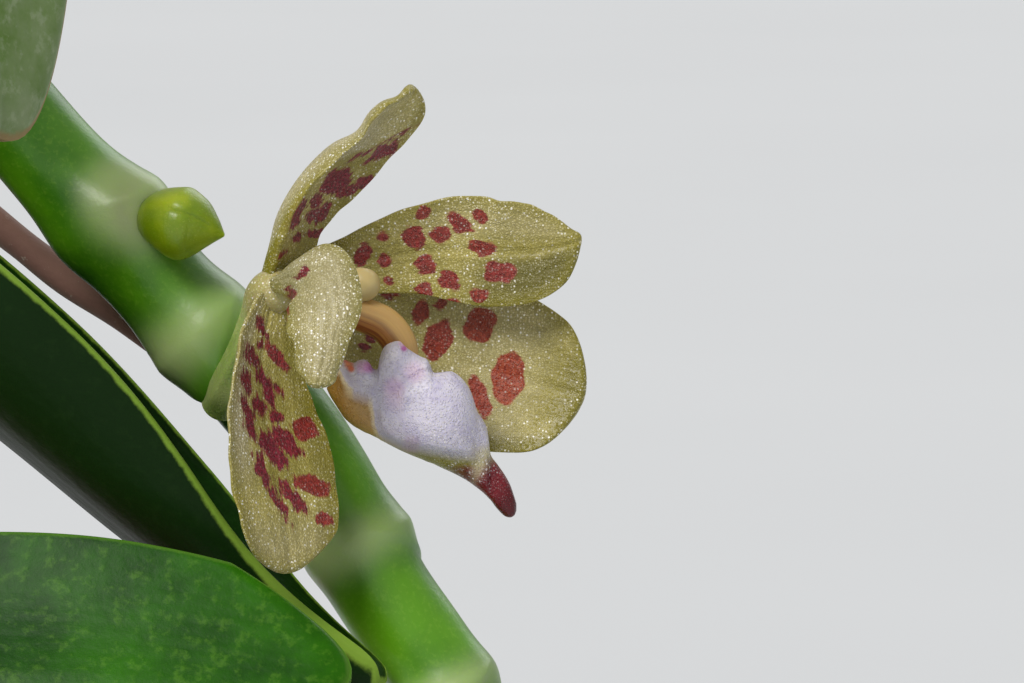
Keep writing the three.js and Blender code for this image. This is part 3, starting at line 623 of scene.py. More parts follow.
def blade(rows, end, rib, rim, grid, ripple):
    """A closed sheet round a midline. Its section is an arc through the row's half-angle, wound
    once round: over the inner face from margin to margin and back behind it at the thickness.
    Each line along it stops at its own end. Gives the points, s across, t along and the face."""
    count, around = grid
    r = (1 - (1 - np.linspace(0, 1, count)) ** 1.5)[:, None]
    turn = full_turn(around)[None]
    s = -np.cos(turn) + 0 * r
    t = np.clip(r - (1 - end(s)) * r**3, 0, 1)
    line, run = curve(rows, t), heading(rows, t)
    up = unit(line[..., 6:9] - np.sum(line[..., 6:9] * run, -1, keepdims=True) * run)
    side = np.cross(run, up)
    curl = line[..., 5]
    radius = np.where(s < 0, line[..., 3], line[..., 4]) / curl
    angle = s * curl
    face = side * (radius * np.sin(angle))[..., None] + up * (radius * (1 - np.cos(angle)))[..., None]
    outward = side * np.sin(angle)[..., None] - up * np.cos(angle)[..., None]
    front = np.sign(np.sin(turn)) * np.abs(np.sin(turn)) ** 0.45 + 0 * r
    end_round = np.sqrt(1 - np.clip((r - BLADE_END) / (1 - BLADE_END), 0, 0.96) ** 2)
    depth = (rim + (rib - rim) * (1 - s * s)) * (0.5 - 0.5 * front * end_round) + ripple(s, t, front)
    return line[..., :3] + face + outward * depth[..., None], s, t, front


def rim_distance(half_width, across, taper):
    """About how far each place lies from the blade's nearer margin or, by the taper, its tip."""
    to_tip = taper * (1 - np.linspace(0, 1, len(across)))[:, None] ** 1.5
    return np.minimum((1 - np.abs(across)) * half_width, to_tip)


def leaf_ripple(s, t, front):
    """A groove along the middle of the upper face, a keel below it, and slight long waves."""
    groove = np.where(front > 0, 0.30, 0.22) * bell(s, 0.07) * np.clip(4 * (1 - t), 0, 1)
    return groove + 0.10 * np.sin(9 * t + 2 * s) * s**2 + 0.04 * np.sin(23 * t - 5 * s)


def leaf_finish(deep, bright, under, rim_tint, scurf_tint, scurf_share):
    """A smooth skin mottled from a deep to a bright green, with fine pale flecks and faint veins,
    another green below, and a thin ragged rim."""

    def build(tree, where):
        s, edge, front = read(tree, "across"), read(tree, "edge"), read(tree, "front")
        clouds = noise(tree, where, 160, 6, 0.6)
        flecks = noise(tree, where, 1900, 5, 0.65)
        veins = maths(tree, "SINE", times(tree, s, 70.0), 0.0)
        body = mix(tree, fade(tree, clouds, 0.3, 0.7), colour(*deep), colour(*bright))
        body = mix(tree, fade(tree, front, 0.2, -0.2), body, colour(*under))
        scurf = times(tree, fade(tree, flecks, 0.50, 0.70), scurf_share)
        body = mix(tree, scurf, body, colour(*scurf_tint))
        ragged = plus(tree, edge, times(tree, flecks, 0.2))
        body = mix(tree, fade(tree, ragged, 0.30, 0.16), body, colour(*rim_tint))
        bumps = relief(tree, flecks, 0.00002)
        bumps = relief(tree, veins, 0.000002, bumps)
        return {"Base Color": body, "Normal": relief(tree, clouds, 0.00012, bumps)}

    return build


LEAF_SHEEN = {"Roughness": 0.42, "Subsurface Weight": 0.12, "Subsurface Scale": 0.0006}
LEAF_SHEEN |= {"Subsurface Radius": (0.6, 1.0, 0.2), "Specular IOR Level": 0.12}
LEAF_GREENS = {
    "mid_leaf": {
        "deep": (12, 56, 0), "bright": (44, 104, 2), "under": (40, 84, 14),
        "rim_tint": (70, 112, 30), "scurf_tint": (110, 160, 50), "scurf_share": 0.22,
    },
    # Leaf b's greens are darkened as painted shade, and its pale rim tint is a painted lit margin.
    "painted_shade_leaf": {
        "deep": (6, 30, 1), "bright": (16, 54, 3), "under": (12, 38, 4),
        "rim_tint": (118, 150, 52), "scurf_tint": (60, 90, 40), "scurf_share": 0.05,
    },
    "grey_leaf": {
        "deep": (78, 114, 22), "bright": (144, 158, 124), "under": (70, 96, 50),
        "rim_tint": (150, 130, 92), "scurf_tint": (190, 198, 176), "scurf_share": 0.22,
    },
}
LEAF_LOOKS = {"leaf_a": "grey_leaf", "leaf_b": "painted_shade_leaf"}
leaf_skins = {look: finish(look, leaf_finish(**greens), LEAF_SHEEN) for look, greens in LEAF_GREENS.items()}
for leaf_name, leaf_rows in LEAVES.items():
    leaf_end = lobed_end(*LEAF_TIPS[leaf_name]) if leaf_name in LEAF_TIPS else round_end(FOLDED_END)
    points, across, along, front = blade(leaf_rows, leaf_end, LEAF_RIB, LEAF_RIM, LEAF_GRID, leaf_ripple)
    half_width = curve(leaf_rows, along)[..., 3]
    leaf_skin = leaf_skins[LEAF_LOOKS.get(leaf_name, "mid_leaf")]
    strap = skin("strap_" + leaf_name, [points], leaf_skin, BLADE_CREASE)
    mark(strap, "across", across)
    mark(strap, "edge", rim_distance(half_width, across, LEAF_TAPER))
    mark(strap, "front", front)
    seat(strap, leaf_name)

# Rachis: the thick, juicy green stalk that bears the flowers. It zigzags a little and swells at
# each node, where a short bract clasps it under a bud, as a pale fleshy collar at the side bud.
LEAN = math.radians(8)
FLOWER_CENTRE = (52, -8, 108)
RACHIS = [
    (-54.0, 14.2, -12.0, 1.40),
    (-51.0, 13.2, -3.0, 1.45),
    (-46.0, 12.0, 7.0, 1.50),
    (-39.0, 10.2, 14.8, 1.60),
    (-30.0, 7.8, 19.2, 1.70),
    (-22.0, 6.2, 17.4, 1.80),
    (-15.0, 5.3, 12.2, 1.90),
    (-8.7, 5.0, 5.1, 2.00),
    (-4.1, 5.0, -0.1, 2.00),
    (-0.5, 5.0, -4.0, 2.00),
    (1.8, 5.0, -7.2, 1.95),
    (4.0, 5.0, -11.4, 1.95),
    (6.3, 5.0, -14.8, 1.90),
    (8.2, 5.0, -18.6, 1.60),
    (9.4, 5.0, -22.0, 1.10),
]
RACHIS_NODES = np.array([4.6, 5.9, 7.4, 8.3, 10.6, 12.2, 13.1])
COLLAR_NODE = 2
# Middle of the collar's pale tissue and painted highlight.
COLLAR_PALE_AND_HIGHLIGHT = (-5.5, 2.9, 3.6)
COLLAR = [
    (-7.20, 5.30, 2.10, 1.10),
    (-6.40, 4.70, 2.65, 1.50),
    (-5.60, 3.90, 2.92, 1.55),
    (-4.80, 3.15, 2.92, 1.40),
]
COLLAR_GRID = (60, 64)
MOUND_PLACE = 7.5
MOUND_TURN = 4.0
MOUND_LIFT = 0.75
MOUND_LONG = 0.26
MOUND_WIDE = 0.85
NODE_SWELL = 0.3
NODE_SPREAD = 0.22
NODE_PALE_AND_HIGHLIGHT = math.sqrt(0.06)
BRACT_TURN = 0.9
BRACT_START = 0.08
BRACT_LONG = 0.62
BRACT_WIDE = 2.3
BRACT_LIFT = 0.16
RACHIS_RINGS = 620
RACHIS_AROUND = 96


def ease(share):
    """0 at 0 and 1 at 1, flat at both ends."""
    share = np.clip(share, 0, 1)
    return share * share * (3 - 2 * share)


def from_flower(points):
    """Moves points from the flower's own leaning frame to the plant's."""
    x, y, z = points[..., 0], points[..., 1], points[..., 2]
    back, up = y * math.cos(LEAN) + z * math.sin(LEAN), z * math.cos(LEAN) - y * math.sin(LEAN)
    return np.stack([x, back, up], -1) + FLOWER_CENTRE


def turn_off(angle, middle):
    """How far an angle lies from a middle, from minus half a turn to half a turn."""
    return (angle - middle + math.pi) % (2 * math.pi) - math.pi


def rachis_swell(t, angle):
    """A bell-shaped swelling at each node, and a scale raised on it by a step that narrows to a
    point further along, on one side and then on the other. A soft mound carries the collar."""
    place = t * (len(RACHIS) - 1)
    swell = 0 * place
    for number, spot in enumerate(RACHIS_NODES):
        swell = swell + NODE_SWELL * bell(place - spot, NODE_SPREAD)
        off = np.abs(turn_off(angle, math.pi * (0.5 + number % 2) + BRACT_TURN))
        along = (place - spot + BRACT_START) / BRACT_LONG
        inside = np.minimum(along * 6, (BRACT_WIDE * (1 - along) - off) * 4)
        swell = swell + BRACT_LIFT * np.clip(inside, 0, 1) * (0.5 + 0.5 * np.clip(along, 0, 1))
    mound = bell(place - MOUND_PLACE, MOUND_LONG) * bell(turn_off(angle, MOUND_TURN), MOUND_WIDE)
    return swell + MOUND_LIFT * mound


def rachis_finish(tree, where):
    """Clear green with darker clouds, paler and whiter on the swellings and the collar, partly by their
    own pale tissue and partly by a painted highlight, and fine glassy cells.
    """
    pale = read(tree, "pale")
    clouds = noise(tree, where, 240, 5, 0.5)
    fine = noise(tree, where, 5200, 3, 0.6)
    body = mix(tree, fade(tree, clouds, 0.3, 0.7), colour(46, 104, 4), colour(92, 152, 14))
    # Pale tissue with a painted highlight on the nodes and the collar.
    body = mix(tree, times(tree, fade(tree, pale, 0.0, 1.0), 0.8), body, colour(182, 200, 136))
    body = mix(tree, times(tree, fade(tree, fine, 0.5, 0.7), 0.15), body, colour(150, 190, 70))
    bumps = relief(tree, fine, 0.000012)
    return {"Base Color": body, "Normal": relief(tree, clouds, 0.00012, bumps)}


def collar_rim(t, angle):
    """The collar's end narrows on to the bud by a square law, with an uneven lip."""
    return -0.42 * np.clip((t - 0.86) / 0.14, 0, 1) ** 2 + 0.05 * np.sin(3 * angle + 1) * t


JUICY = {"Roughness": 0.36, "Subsurface Weight": 0.35, "Subsurface Scale": 0.0012}
JUICY |= {"Subsurface Radius": (0.55, 1.0, 0.12), "Coat Weight": 0.15, "Coat Roughness": 0.3}
rachis_skin = finish("rachis_skin", rachis_finish, JUICY)
rachis_rings = tube(RACHIS, RACHIS_RINGS, RACHIS_AROUND, rachis_swell)
collar_rings = tube(COLLAR, *COLLAR_GRID, collar_rim)
stalk = skin("flower_stalk", [from_flower(rachis_rings), from_flower(collar_rings)], rachis_skin)
stalk_place = np.linspace(0, 1, RACHIS_RINGS)[:, None] * (len(RACHIS) - 1)
plain_nodes = np.delete(RACHIS_NODES, COLLAR_NODE)
# The nodes and the collar are painted paler, lighter on one side of the stalk: partly pale tissue, partly a
# painted highlight.
node_pale_and_highlight = bell(np.min(np.abs(stalk_place - plain_nodes), axis=1)[:, None], NODE_PALE_AND_HIGHLIGHT)
node_pale_and_highlight = node_pale_and_highlight * (0.75 + 0.25 * np.cos(full_turn(RACHIS_AROUND)))
to_pale_and_highlight = [np.linalg.norm(rings - COLLAR_PALE_AND_HIGHLIGHT, axis=-1) for rings in (rachis_rings, collar_rings)]
node_pale_and_highlight = np.maximum(node_pale_and_highlight, 0.85 * ease(1.35 - to_pale_and_highlight[0] / 2.4))
collar_pale_and_highlight = 0.9 * ease(1.5 - to_pale_and_highlight[1] / 2.4)
mark(stalk, "pale", np.concatenate([node_pale_and_highlight.ravel(), collar_pale_and_highlight.ravel()]))
seat(stalk, "rachis")

# Pedicel: the short pale stalk of the open flower, ribbed where its seed vessel begins, which
# widens into the straw-coloured seat that the sepals, petals and column all grow from.
PEDICEL = [
    (-2.10, 4.30, -4.30, 0.80),
    (-1.75, 3.00, -3.55, 0.70),
    (-1.15, 1.90, -2.30, 0.62),
    (-0.68, 1.25, -1.05, 0.60),
    (-0.28, 0.66, -0.22, 0.82),
    (0.12, 0.30, 0.04, 0.92),
    (0.80, 0.24, 0.14, 1.00),
]
PEDICEL_GRID = (90, 48)
# Colours of the painted glints: the fine ones, and the bright ones.
FINE_GLINT_TINT = (240, 234, 204)
GLINT_TINT = (255, 253, 244)


def painted_glints(tree, where, fineness, share, size):
    """Pale dots painted as glints of light, fineness cells to the metre: about this share of the cells
    hold one, whose size is a share of its cell. Gives how much of one covers a place, and how far off
    its middle lies."""
    away, tint = cells(tree, where, fineness)
    tint = node(tree, "SeparateColor", {0: tint}).outputs[0]
    chosen = fade(tree, tint, 1 - share, 1 - 0.6 * share)
    return times(tree, chosen, fade(tree, away, size, 0.4 * size)), away


def pedicel_ribs(t, angle):
    """Six low ribs that rise and sink along the stalk by half a sine wave, and a domed end."""
    ribs = 0.05 * np.cos(6 * angle) * np.sin(math.pi * np.clip(1.4 * t, 0, 1))
    return ribs + 0.85 * (domed(t, 0.8) - 1)


def pedicel_finish(tree, where):
    """Pale green that turns to straw at the flower's seat, with painted glints over the straw."""
    ripe = fade(tree, read(tree, "ripe"), 0.45, 0.62)
    clouds = noise(tree, where, 600, 4)
    fine_glints, away = painted_glints(tree, where, 10500, 0.6, 0.52)
    glints, _ = painted_glints(tree, where, 7200, 0.3, 0.4)
    body = mix(tree, fade(tree, clouds, 0.3, 0.7), colour(126, 154, 66), colour(170, 184, 112))
    body = mix(tree, ripe, body, colour(168, 158, 100))
    # Painted glints on the seat's straw.
    body = mix(tree, times(tree, fine_glints, 0.4, ripe), body, colour(236, 230, 200))
    body = mix(tree, times(tree, glints, ripe), body, colour(*GLINT_TINT))
    return {"Base Color": body, "Normal": relief(tree, away, -0.00002)}


pedicel_rings = from_flower(tube(PEDICEL, *PEDICEL_GRID, pedicel_ribs))
flower_pedicel = skin("flower_pedicel", [pedicel_rings], finish("pedicel_skin", pedicel_finish, JUICY))
mark(flower_pedicel, "ripe", np.repeat(np.linspace(0, 1, PEDICEL_GRID[0]), PEDICEL_GRID[1]))
seat(flower_pedicel, "pedicel_ovary")

# Buds: plump closed buds, yellow-green and glossy, whose sepals still meet edge to edge. Fine
# seams show where they will part, and fade out towards the beak.
BUDS = {
    "bud_side": [
        (-4.90, 4.40, 2.40, 0.80),
        (-4.50, 3.10, 2.75, 0.95),
        (-4.12, 2.45, 2.80, 1.25),
        (-3.50, 2.10, 2.66, 1.44),
        (-2.93, 1.92, 2.54, 1.16),
        (-2.40, 1.76, 2.38, 0.64),
        (-1.90, 1.62, 2.20, 0.06),
    ],
    "bud_low": [
        (7.60, 4.00, -18.0, 0.50),
        (8.60, 2.60, -18.2, 0.75),
        (9.40, 1.90, -18.8, 0.95),
        (10.0, 1.50, -19.6, 0.75),
        (10.3, 1.30, -20.2, 0.15),
    ],
    "bud_tip": [
        (9.58, 4.95, -22.45, 0.40),
        (10.1, 4.60, -23.4, 0.60),
        (10.7, 4.30, -24.6, 0.75),
        (11.1, 4.10, -25.6, 0.50),
        (11.2, 4.05, -26.0, 0.12),
    ],
}
BUD_PLACES = np.sin(np.linspace(0, math.pi / 2, 90))
BUD_AROUND = 72
BUD_SEAM = 0.07
BUD_SEAM_WIDE = 0.2
BUD_SEAM_TURN = 0.18


def bud_seams(t, angle):
    """Three narrow grooves along the bud, a third of a turn apart, fading out at both its ends."""
    off = turn_off((angle - BUD_SEAM_TURN) * 3, 0)
    return -BUD_SEAM * bell(off, BUD_SEAM_WIDE) * ease(5 * (t - 0.3)) * ease(4 * (0.97 - t))


def bud_finish(tree, where):
    """Waxy yellow-green with lighter clouds and tiny pale cells."""
    clouds = noise(tree, where, 420, 4)
    fine, _ = cells(tree, where, 9000)
    body = mix(tree, fade(tree, clouds, 0.35, 0.65), colour(114, 140, 4), colour(158, 174, 22))
    body = mix(tree, times(tree, fade(tree, fine, 0.3, 0.0), 0.25), body, colour(200, 206, 110))
    return {"Base Color": body, "Normal": relief(tree, fine, 0.000008)}


bud_skin = finish("bud_skin", bud_finish, JUICY)
for bud_name, bud_rows in BUDS.items():
    bud_rings = from_flower(tube(bud_rows, BUD_PLACES, BUD_AROUND, bud_seams))
    closed_bud = skin("closed_" + bud_name, [bud_rings], bud_skin)
    seat(closed_bud, bud_name)

# Sepals and petals: fleshy straw-yellow blades that spread from the seat. Their skin is a sheet
# of glassy raised cells whose glitter is painted as pale glints with painted shade between them, and
# crimson spots are stained into its face.
TEPAL_RIB = 0.50
TEPAL_RIM = 0.24
TEPAL_GRID = (200, 170)
TEPAL_TAPER = 9
PALE_FEET = ("sepal_near", "petal_near")
BACK_SEEN = "petal_near"
# The photograph's frame sets the spots' places: its centre, its points to the millimetre, the
# place in the flower's frame that the centre shows, and how far off the camera stood.
PHOTO_CENTRE = (512, 341.5)
PHOTO_SCALE = 26.0
FRAME_CENTRE = (9.23, -1.90)
CAMERA_DISTANCE = 300.0
TEPALS = {
    "sepal_dorsal": [
        (0.06, 0.38, 0.46, 0.56, 0.62, 0.35, 0.90, -0.15, -0.38),
        (0.42, 0.42, 1.80, 1.20, 1.40, 0.60, 0.89, -0.27, -0.36),
        (0.80, 0.45, 2.95, 1.70, 1.95, 0.80, 0.83, -0.30, -0.45),
        (1.60, 0.50, 4.20, 1.95, 2.20, 0.85, 0.74, -0.32, -0.59),
        (2.74, 0.60, 5.34, 1.95, 2.25, 0.80, 0.66, -0.34, -0.67),
        (3.96, 0.70, 6.38, 1.75, 2.10, 0.60, 0.66, -0.36, -0.66),
        (5.00, 0.70, 7.16, 1.40, 1.65, 0.40, 0.70, -0.42, -0.58),
        (5.60, 0.60, 7.84, 0.65, 0.85, 0.30, 0.72, -0.45, -0.52),
    ],
    "sepal_near": [
        (0.02, -0.16, -0.18, 0.60, 0.62, 0.35, 0.72, -0.66, 0.20),
        (-0.25, -0.46, -1.85, 1.46, 1.46, 0.45, 0.72, -0.69, 0.08),
        (-0.36, -0.70, -3.40, 2.15, 2.10, 0.50, 0.77, -0.64, 0.00),
        (-0.16, -0.95, -4.90, 2.50, 2.50, 0.40, 0.74, -0.67, 0.02),
        (0.14, -1.15, -6.40, 2.70, 2.65, 0.32, 0.70, -0.71, 0.05),
        (0.42, -1.35, -7.90, 2.65, 2.55, 0.28, 0.68, -0.72, 0.10),
        (0.64, -1.50, -9.35, 2.35, 2.25, 0.25, 0.66, -0.73, 0.14),
        (0.84, -1.55, -10.75, 1.50, 1.50, 0.20, 0.64, -0.74, 0.18),
    ],
    "sepal_far": [
        (0.80, 1.50, -1.00, 0.45, 0.45, 0.30, 0.80, -0.50, 0.30),
        (2.30, 2.85, -1.45, 1.50, 1.50, 0.36, 0.35, -0.92, 0.15),
        (4.00, 3.70, -1.85, 2.40, 2.30, 0.36, 0.15, -0.98, 0.10),
        (5.80, 4.15, -2.28, 3.00, 2.90, 0.32, 0.10, -0.99, 0.05),
        (7.60, 4.30, -2.80, 3.30, 3.15, 0.28, 0.08, -0.99, 0.05),
        (9.30, 4.15, -3.30, 3.15, 3.05, 0.26, 0.05, -0.99, 0.08),
        (10.80, 3.95, -3.70, 2.60, 2.60, 0.22, 0.00, -0.99, 0.12),
        (12.00, 3.65, -4.00, 1.70, 1.80, 0.20, -0.05, -0.98, 0.16),
    ],
    "petal_near": [
        (0.28, -0.62, 0.42, 0.45, 0.30, 0.20, 0.90, 0.20, -0.30),
        (0.85, -1.70, 0.60, 0.85, 0.45, 0.30, 0.86, 0.38, -0.30),
        (1.45, -2.75, 0.60, 1.25, 1.00, 0.35, 0.72, 0.60, -0.40),
        (1.90, -3.60, 0.12, 1.50, 1.50, 0.35, 0.45, 0.70, -0.55),
        (2.10, -4.25, -0.75, 1.50, 1.50, 0.32, 0.25, 0.90, -0.38),
        (2.08, -4.65, -1.80, 1.42, 1.42, 0.28, 0.18, 0.96, -0.25),
        (1.93, -4.90, -2.85, 1.15, 1.15, 0.22, 0.16, 0.98, -0.15),
        (1.75, -5.05, -3.70, 0.65, 0.65, 0.15, 0.15, 0.98, -0.10),
    ],
    "petal_far": [
        (0.75, 1.45, 0.55, 0.42, 0.42, 0.20, 0.70, -0.60, -0.10),
        (2.20, 1.95, 0.85, 0.95, 0.95, 0.30, 0.25, -0.95, -0.10),
        (3.80, 2.25, 1.25, 1.35, 1.30, 0.32, 0.10, -0.98, -0.12),
        (5.40, 2.40, 1.55, 1.75, 1.60, 0.28, 0.05, -0.98, -0.14),
        (7.00, 2.45, 1.65, 2.10, 2.00, 0.22, 0.03, -0.98, -0.14),
        (8.60, 2.40, 1.55, 2.10, 2.10, 0.18, 0.00, -0.98, -0.12),
        (10.20, 2.25, 1.60, 1.75, 1.85, 0.15, -0.05, -0.98, -0.08),
        (11.80, 2.00, 1.90, 0.80, 0.85, 0.10, -0.10, -0.98, -0.05),
    ],
}
# How far each blade's margins stop short of its tip, as a share of its length.
TEPAL_ENDS = {
    "sepal_dorsal": 0.1,
    "sepal_near": 0.16,
    "sepal_far": 0.16,
    "petal_near": 0.1,
    "petal_far": 0.08,
}
# Shifts of the outlines: x, y and reach, then how far right and down it moves there, in the
# photograph's points.
NUDGES_PX = {
    "sepal_dorsal": [(350, 126, 18, 6, 5), (396, 87, 14, 1, 6), (304, 256, 20, 13, 4)],
    "petal_near": [
        (335, 256, 26, 0, -10), (272, 272, 15, 4, 3),
        (364, 345, 26, -11, 0), (350, 374, 16, -8, 0), (284, 352, 18, 7, 0), (298, 378, 12, 5, 0),
    ],
    "petal_far": [(580, 238, 9, 3, -4), (500, 198, 9, 0, 2), (535, 205, 10, 0, -2)],
    "sepal_near": [(292, 316, 15, 5, -7)],
}
# Spots: x, y, length and width in the photograph's points, turn in degrees from level with the
# right end raised, and tone from crimson at 0 to orange-red at 1.
SPOTS_PX = {
    "sepal_dorsal": [
        (279, 256, 14, 7, 38, 0.2),
        (298, 237, 12, 7, 30, 0.2),
        (314, 233, 22, 8, 15, 0.2),
        (295, 214, 38, 13, 62, 0.1),
        (316, 200, 19, 10, 55, 0.2),
        (319, 214, 29, 14, 35, 0.2),
        (336, 181, 36, 22, 38, 0.1),
        (346, 191, 24, 12, 10, 0.2),
        (365, 182, 21, 15, 45, 0.2),
        (359, 156, 28, 3, 30, 0.1),
        (384, 151, 38, 11, 32, 0.1),
        (398, 134, 33, 4, 27, 0.1),
    ],
    "sepal_near": [
        (261, 326, 26, 8, -68, 0.0),
        (260, 345, 10, 7, -60, 0.0),
        (252, 356, 29, 10, -65, 0.0),
        (266, 387, 48, 10, -68, 0.0),
        (276, 388, 22, 7, -60, 0.1),
        (277, 357, 38, 11, -54, 0.3),
        (246, 381, 27, 10, -80, 0.0),
        (259, 407, 25, 10, -70, 0.0),
        (249, 418, 46, 11, -76, 0.0),
        (276, 416, 16, 11, -50, 0.1),
        (286, 442, 42, 18, -42, 0.1),
        (273, 451, 44, 16, -54, 0.0),
        (262, 470, 38, 11, -72, 0.0),
        (280, 505, 44, 8, -62, 0.1),
        (292, 496, 42, 13, -50, 0.1),
        (305, 429, 28, 22, -15, 0.45),
        (312, 485, 41, 18, -22, 0.5),
        (324, 519, 18, 13, -40, 0.5),
    ],
    "petal_near": [
        (303, 272, 17, 8, 38, 0.0),
        (291, 293, 12, 9, 70, 0.0),
        (287, 309, 13, 7, 80, 0.3),
        (283, 321, 9, 5, 80, 0.4),
    ],
    "petal_far": [
        (424, 213, 15, 13, 30, 0.6),
        (414, 237, 25, 21, -35, 0.5),
        (441, 234, 23, 17, -20, 0.5),
        (460, 223, 27, 17, -32, 0.5),
        (480, 215, 16, 14, -40, 0.6),
        (482, 248, 27, 16, -8, 0.6),
        (500, 272, 32, 22, -6, 0.5),
        (426, 265, 22, 20, 10, 0.5),
        (449, 280, 24, 18, -25, 0.5),
        (424, 289, 17, 15, 0, 0.5),
        (479, 295, 18, 14, 10, 0.6),
        (454, 301, 14, 9, 0, 0.6),
        (383, 236, 14, 11, 20, 0.5),
        (363, 254, 26, 15, 70, 0.4),
        (385, 260, 15, 12, 0, 0.5),
        (389, 280, 11, 9, 0, 0.5),
    ],
    "sepal_far": [
        (421, 313, 26, 16, 70, 0.8),
        (438, 340, 42, 28, 70, 0.7),
        (480, 325, 38, 30, 60, 0.9),
        (480, 397, 44, 17, -70, 0.8),
        (508, 378, 54, 33, 82, 1.0),
        (388, 294, 20, 8, -20, 0.6),
        (441, 304, 14, 9, 0, 0.7),
        (371, 337, 14, 10, 0, 0.2),
        (364, 347, 10, 8, 0, 0.2),
    ],
}
SPOT_WAVES_PX = 1.3
# Where the blades are paler and silvery, partly by their own tone and partly by painted light, and
# where painted shade makes them dark and olive, from s across and t along.
PALE_AND_LIT_PLACES = {
    "petal_near": lambda s, t: 0.8 + 0.2 * s,
    "sepal_near": lambda s, t: np.maximum(
        ease((s - 0.3) / 0.4) * ease((0.75 - t) / 0.3),
        0.4 * ease((t - 0.7) / 0.2),
    ),
    "sepal_far": lambda s, t: 0.45 * ease((t - 0.3) / 0.3) * ease((0.9 - t) / 0.2) + 0 * s,
    "petal_far": lambda s, t: 0.4 * ease((-s - 0.1) / 0.4) * ease((t - 0.3) / 0.3),
}
# Painted shade: how far each blade is darkened towards olive, from s across and t along.
PAINTED_SHADES = {
    "petal_near": lambda s, t: 0.25 + 0 * s,
    "petal_far": lambda s, t: np.maximum(
        0.9 * ease((s + 0.05) / 0.35) * ease((t - 0.5) / 0.3),
        0.5 * ease((0.35 - t) / 0.3),
    ),
    "sepal_far": lambda s, t: 0.75 * np.maximum(
        ease((t - 0.84) / 0.14),
        ease((s - 0.6) / 0.35) * ease((t - 0.3) / 0.3),
    ),
    "sepal_near": lambda s, t: (
        0.55 * ease((-s - 0.5) / 0.4) + 0.35 * ease((s - 0.55) / 0.35) * ease((t - 0.55) / 0.3)
    ),
}
NO_TINT = lambda s, t: 0 * s
# The dorsal sepal's near half folds over its face above this line. The blade keeps its shape:
# a low ridge runs along the line, and above it the face is painted paler, partly as light, and bears
# no spots. The other blades lie far off it.
FOLDED_TEPAL = "sepal_dorsal"
FOLD_PX = [
    (262, 264), (280, 235), (290, 210), (301, 193), (326, 169), (352, 156), (374, 146), (412, 126),
    (424, 116), (450, 60), (230, 60), (230, 270),
]
FOLD_LIFT = 0.14
FOLD_WIDE = 0.28
FAR_OFF = 99


def photo_places(points):
    """Where points of the flower's frame fall in the photograph: they shrink with their distance."""
    nearness = PHOTO_SCALE * CAMERA_DISTANCE / (CAMERA_DISTANCE + points[..., 1])
    x = PHOTO_CENTRE[0] + nearness * (points[..., 0] - FRAME_CENTRE[0])
    y = PHOTO_CENTRE[1] - nearness * (points[..., 2] - FRAME_CENTRE[1])
    return np.stack([x, y], -1)


def nudged(points, nudges):
    """Points moved by each nudge, less and less with a bell of their distance from its middle."""
    for x, y, reach, right, down in nudges:
        off = np.linalg.norm(photo_places(points) - (x, y), axis=-1)
        points = points + bell(off, reach)[..., None] * np.array([right, 0, -down]) / PHOTO_SCALE
    return points


def line_distance(places, start, end):
    """Millimetres in the photograph to the nearest of the straight stretches from start to end."""
    side = end - start
    off = places[..., None, :] - start
    share = np.clip(np.sum(off * side, -1) / np.sum(side**2, -1), 0, 1)
    return np.min(np.linalg.norm(off - share[..., None] * side, axis=-1), axis=-1) / PHOTO_SCALE


def border_distance(places, corners):
    """Distance to a closed border, positive inside it: inside, a level line to the right crosses
    the border an odd number of times."""
    corners = np.array(corners, float)
    ends = np.roll(corners, -1, axis=0)
    x, y = places[..., :1], places[..., 1:]
    spans = (corners[:, 1] > y) != (ends[:, 1] > y)
    rise = np.where(ends[:, 1] == corners[:, 1], 1, ends[:, 1] - corners[:, 1])
    crossed = spans & (x < corners[:, 0] + (y - corners[:, 1]) * (ends[:, 0] - corners[:, 0]) / rise)
    inside = np.sum(crossed, -1) % 2 == 1
    away = line_distance(places, corners, ends)
    return np.where(inside, away, -away)


def spot_distance(places, spots):
    """Millimetres to the nearest spot's edge, negative inside it, and that spot's tone. A spot is
    an oval bent by slow waves, and the distance is its narrow half times how far past its rim
    the place lies."""
    x, y, long, wide, turn, tone = np.array(spots, float).T
    waves = np.sin(places[..., ::-1] / 3.7 + 1.3 * np.sin(places / 5.1)) * SPOT_WAVES_PX
    places = places + waves
    turn = np.radians(-turn)
    right, down = places[..., :1] - x, places[..., 1:] - y
    along = (right * np.cos(turn) + down * np.sin(turn)) / (long / 2)
    across = (down * np.cos(turn) - right * np.sin(turn)) / (wide / 2)
    away = (np.sqrt(along**2 + across**2 + 1e-9) - 1) * wide / 2 / PHOTO_SCALE
    nearest = np.argmin(away, axis=-1)
    return np.take_along_axis(away, nearest[..., None], -1)[..., 0], tone[nearest]


def tepal_ripple(s, t, front):
    """A shallow channel along the middle, low veins beside it, and an uneven margin."""
    veins = 0.012 * np.cos(26 * s) * (1 - s * s) * np.sign(front)
    return 0.05 * bell(s, 0.12) + veins + s**6 * (0.05 * np.sin(21 * t) + 0.03 * np.sin(47 * t + 1))


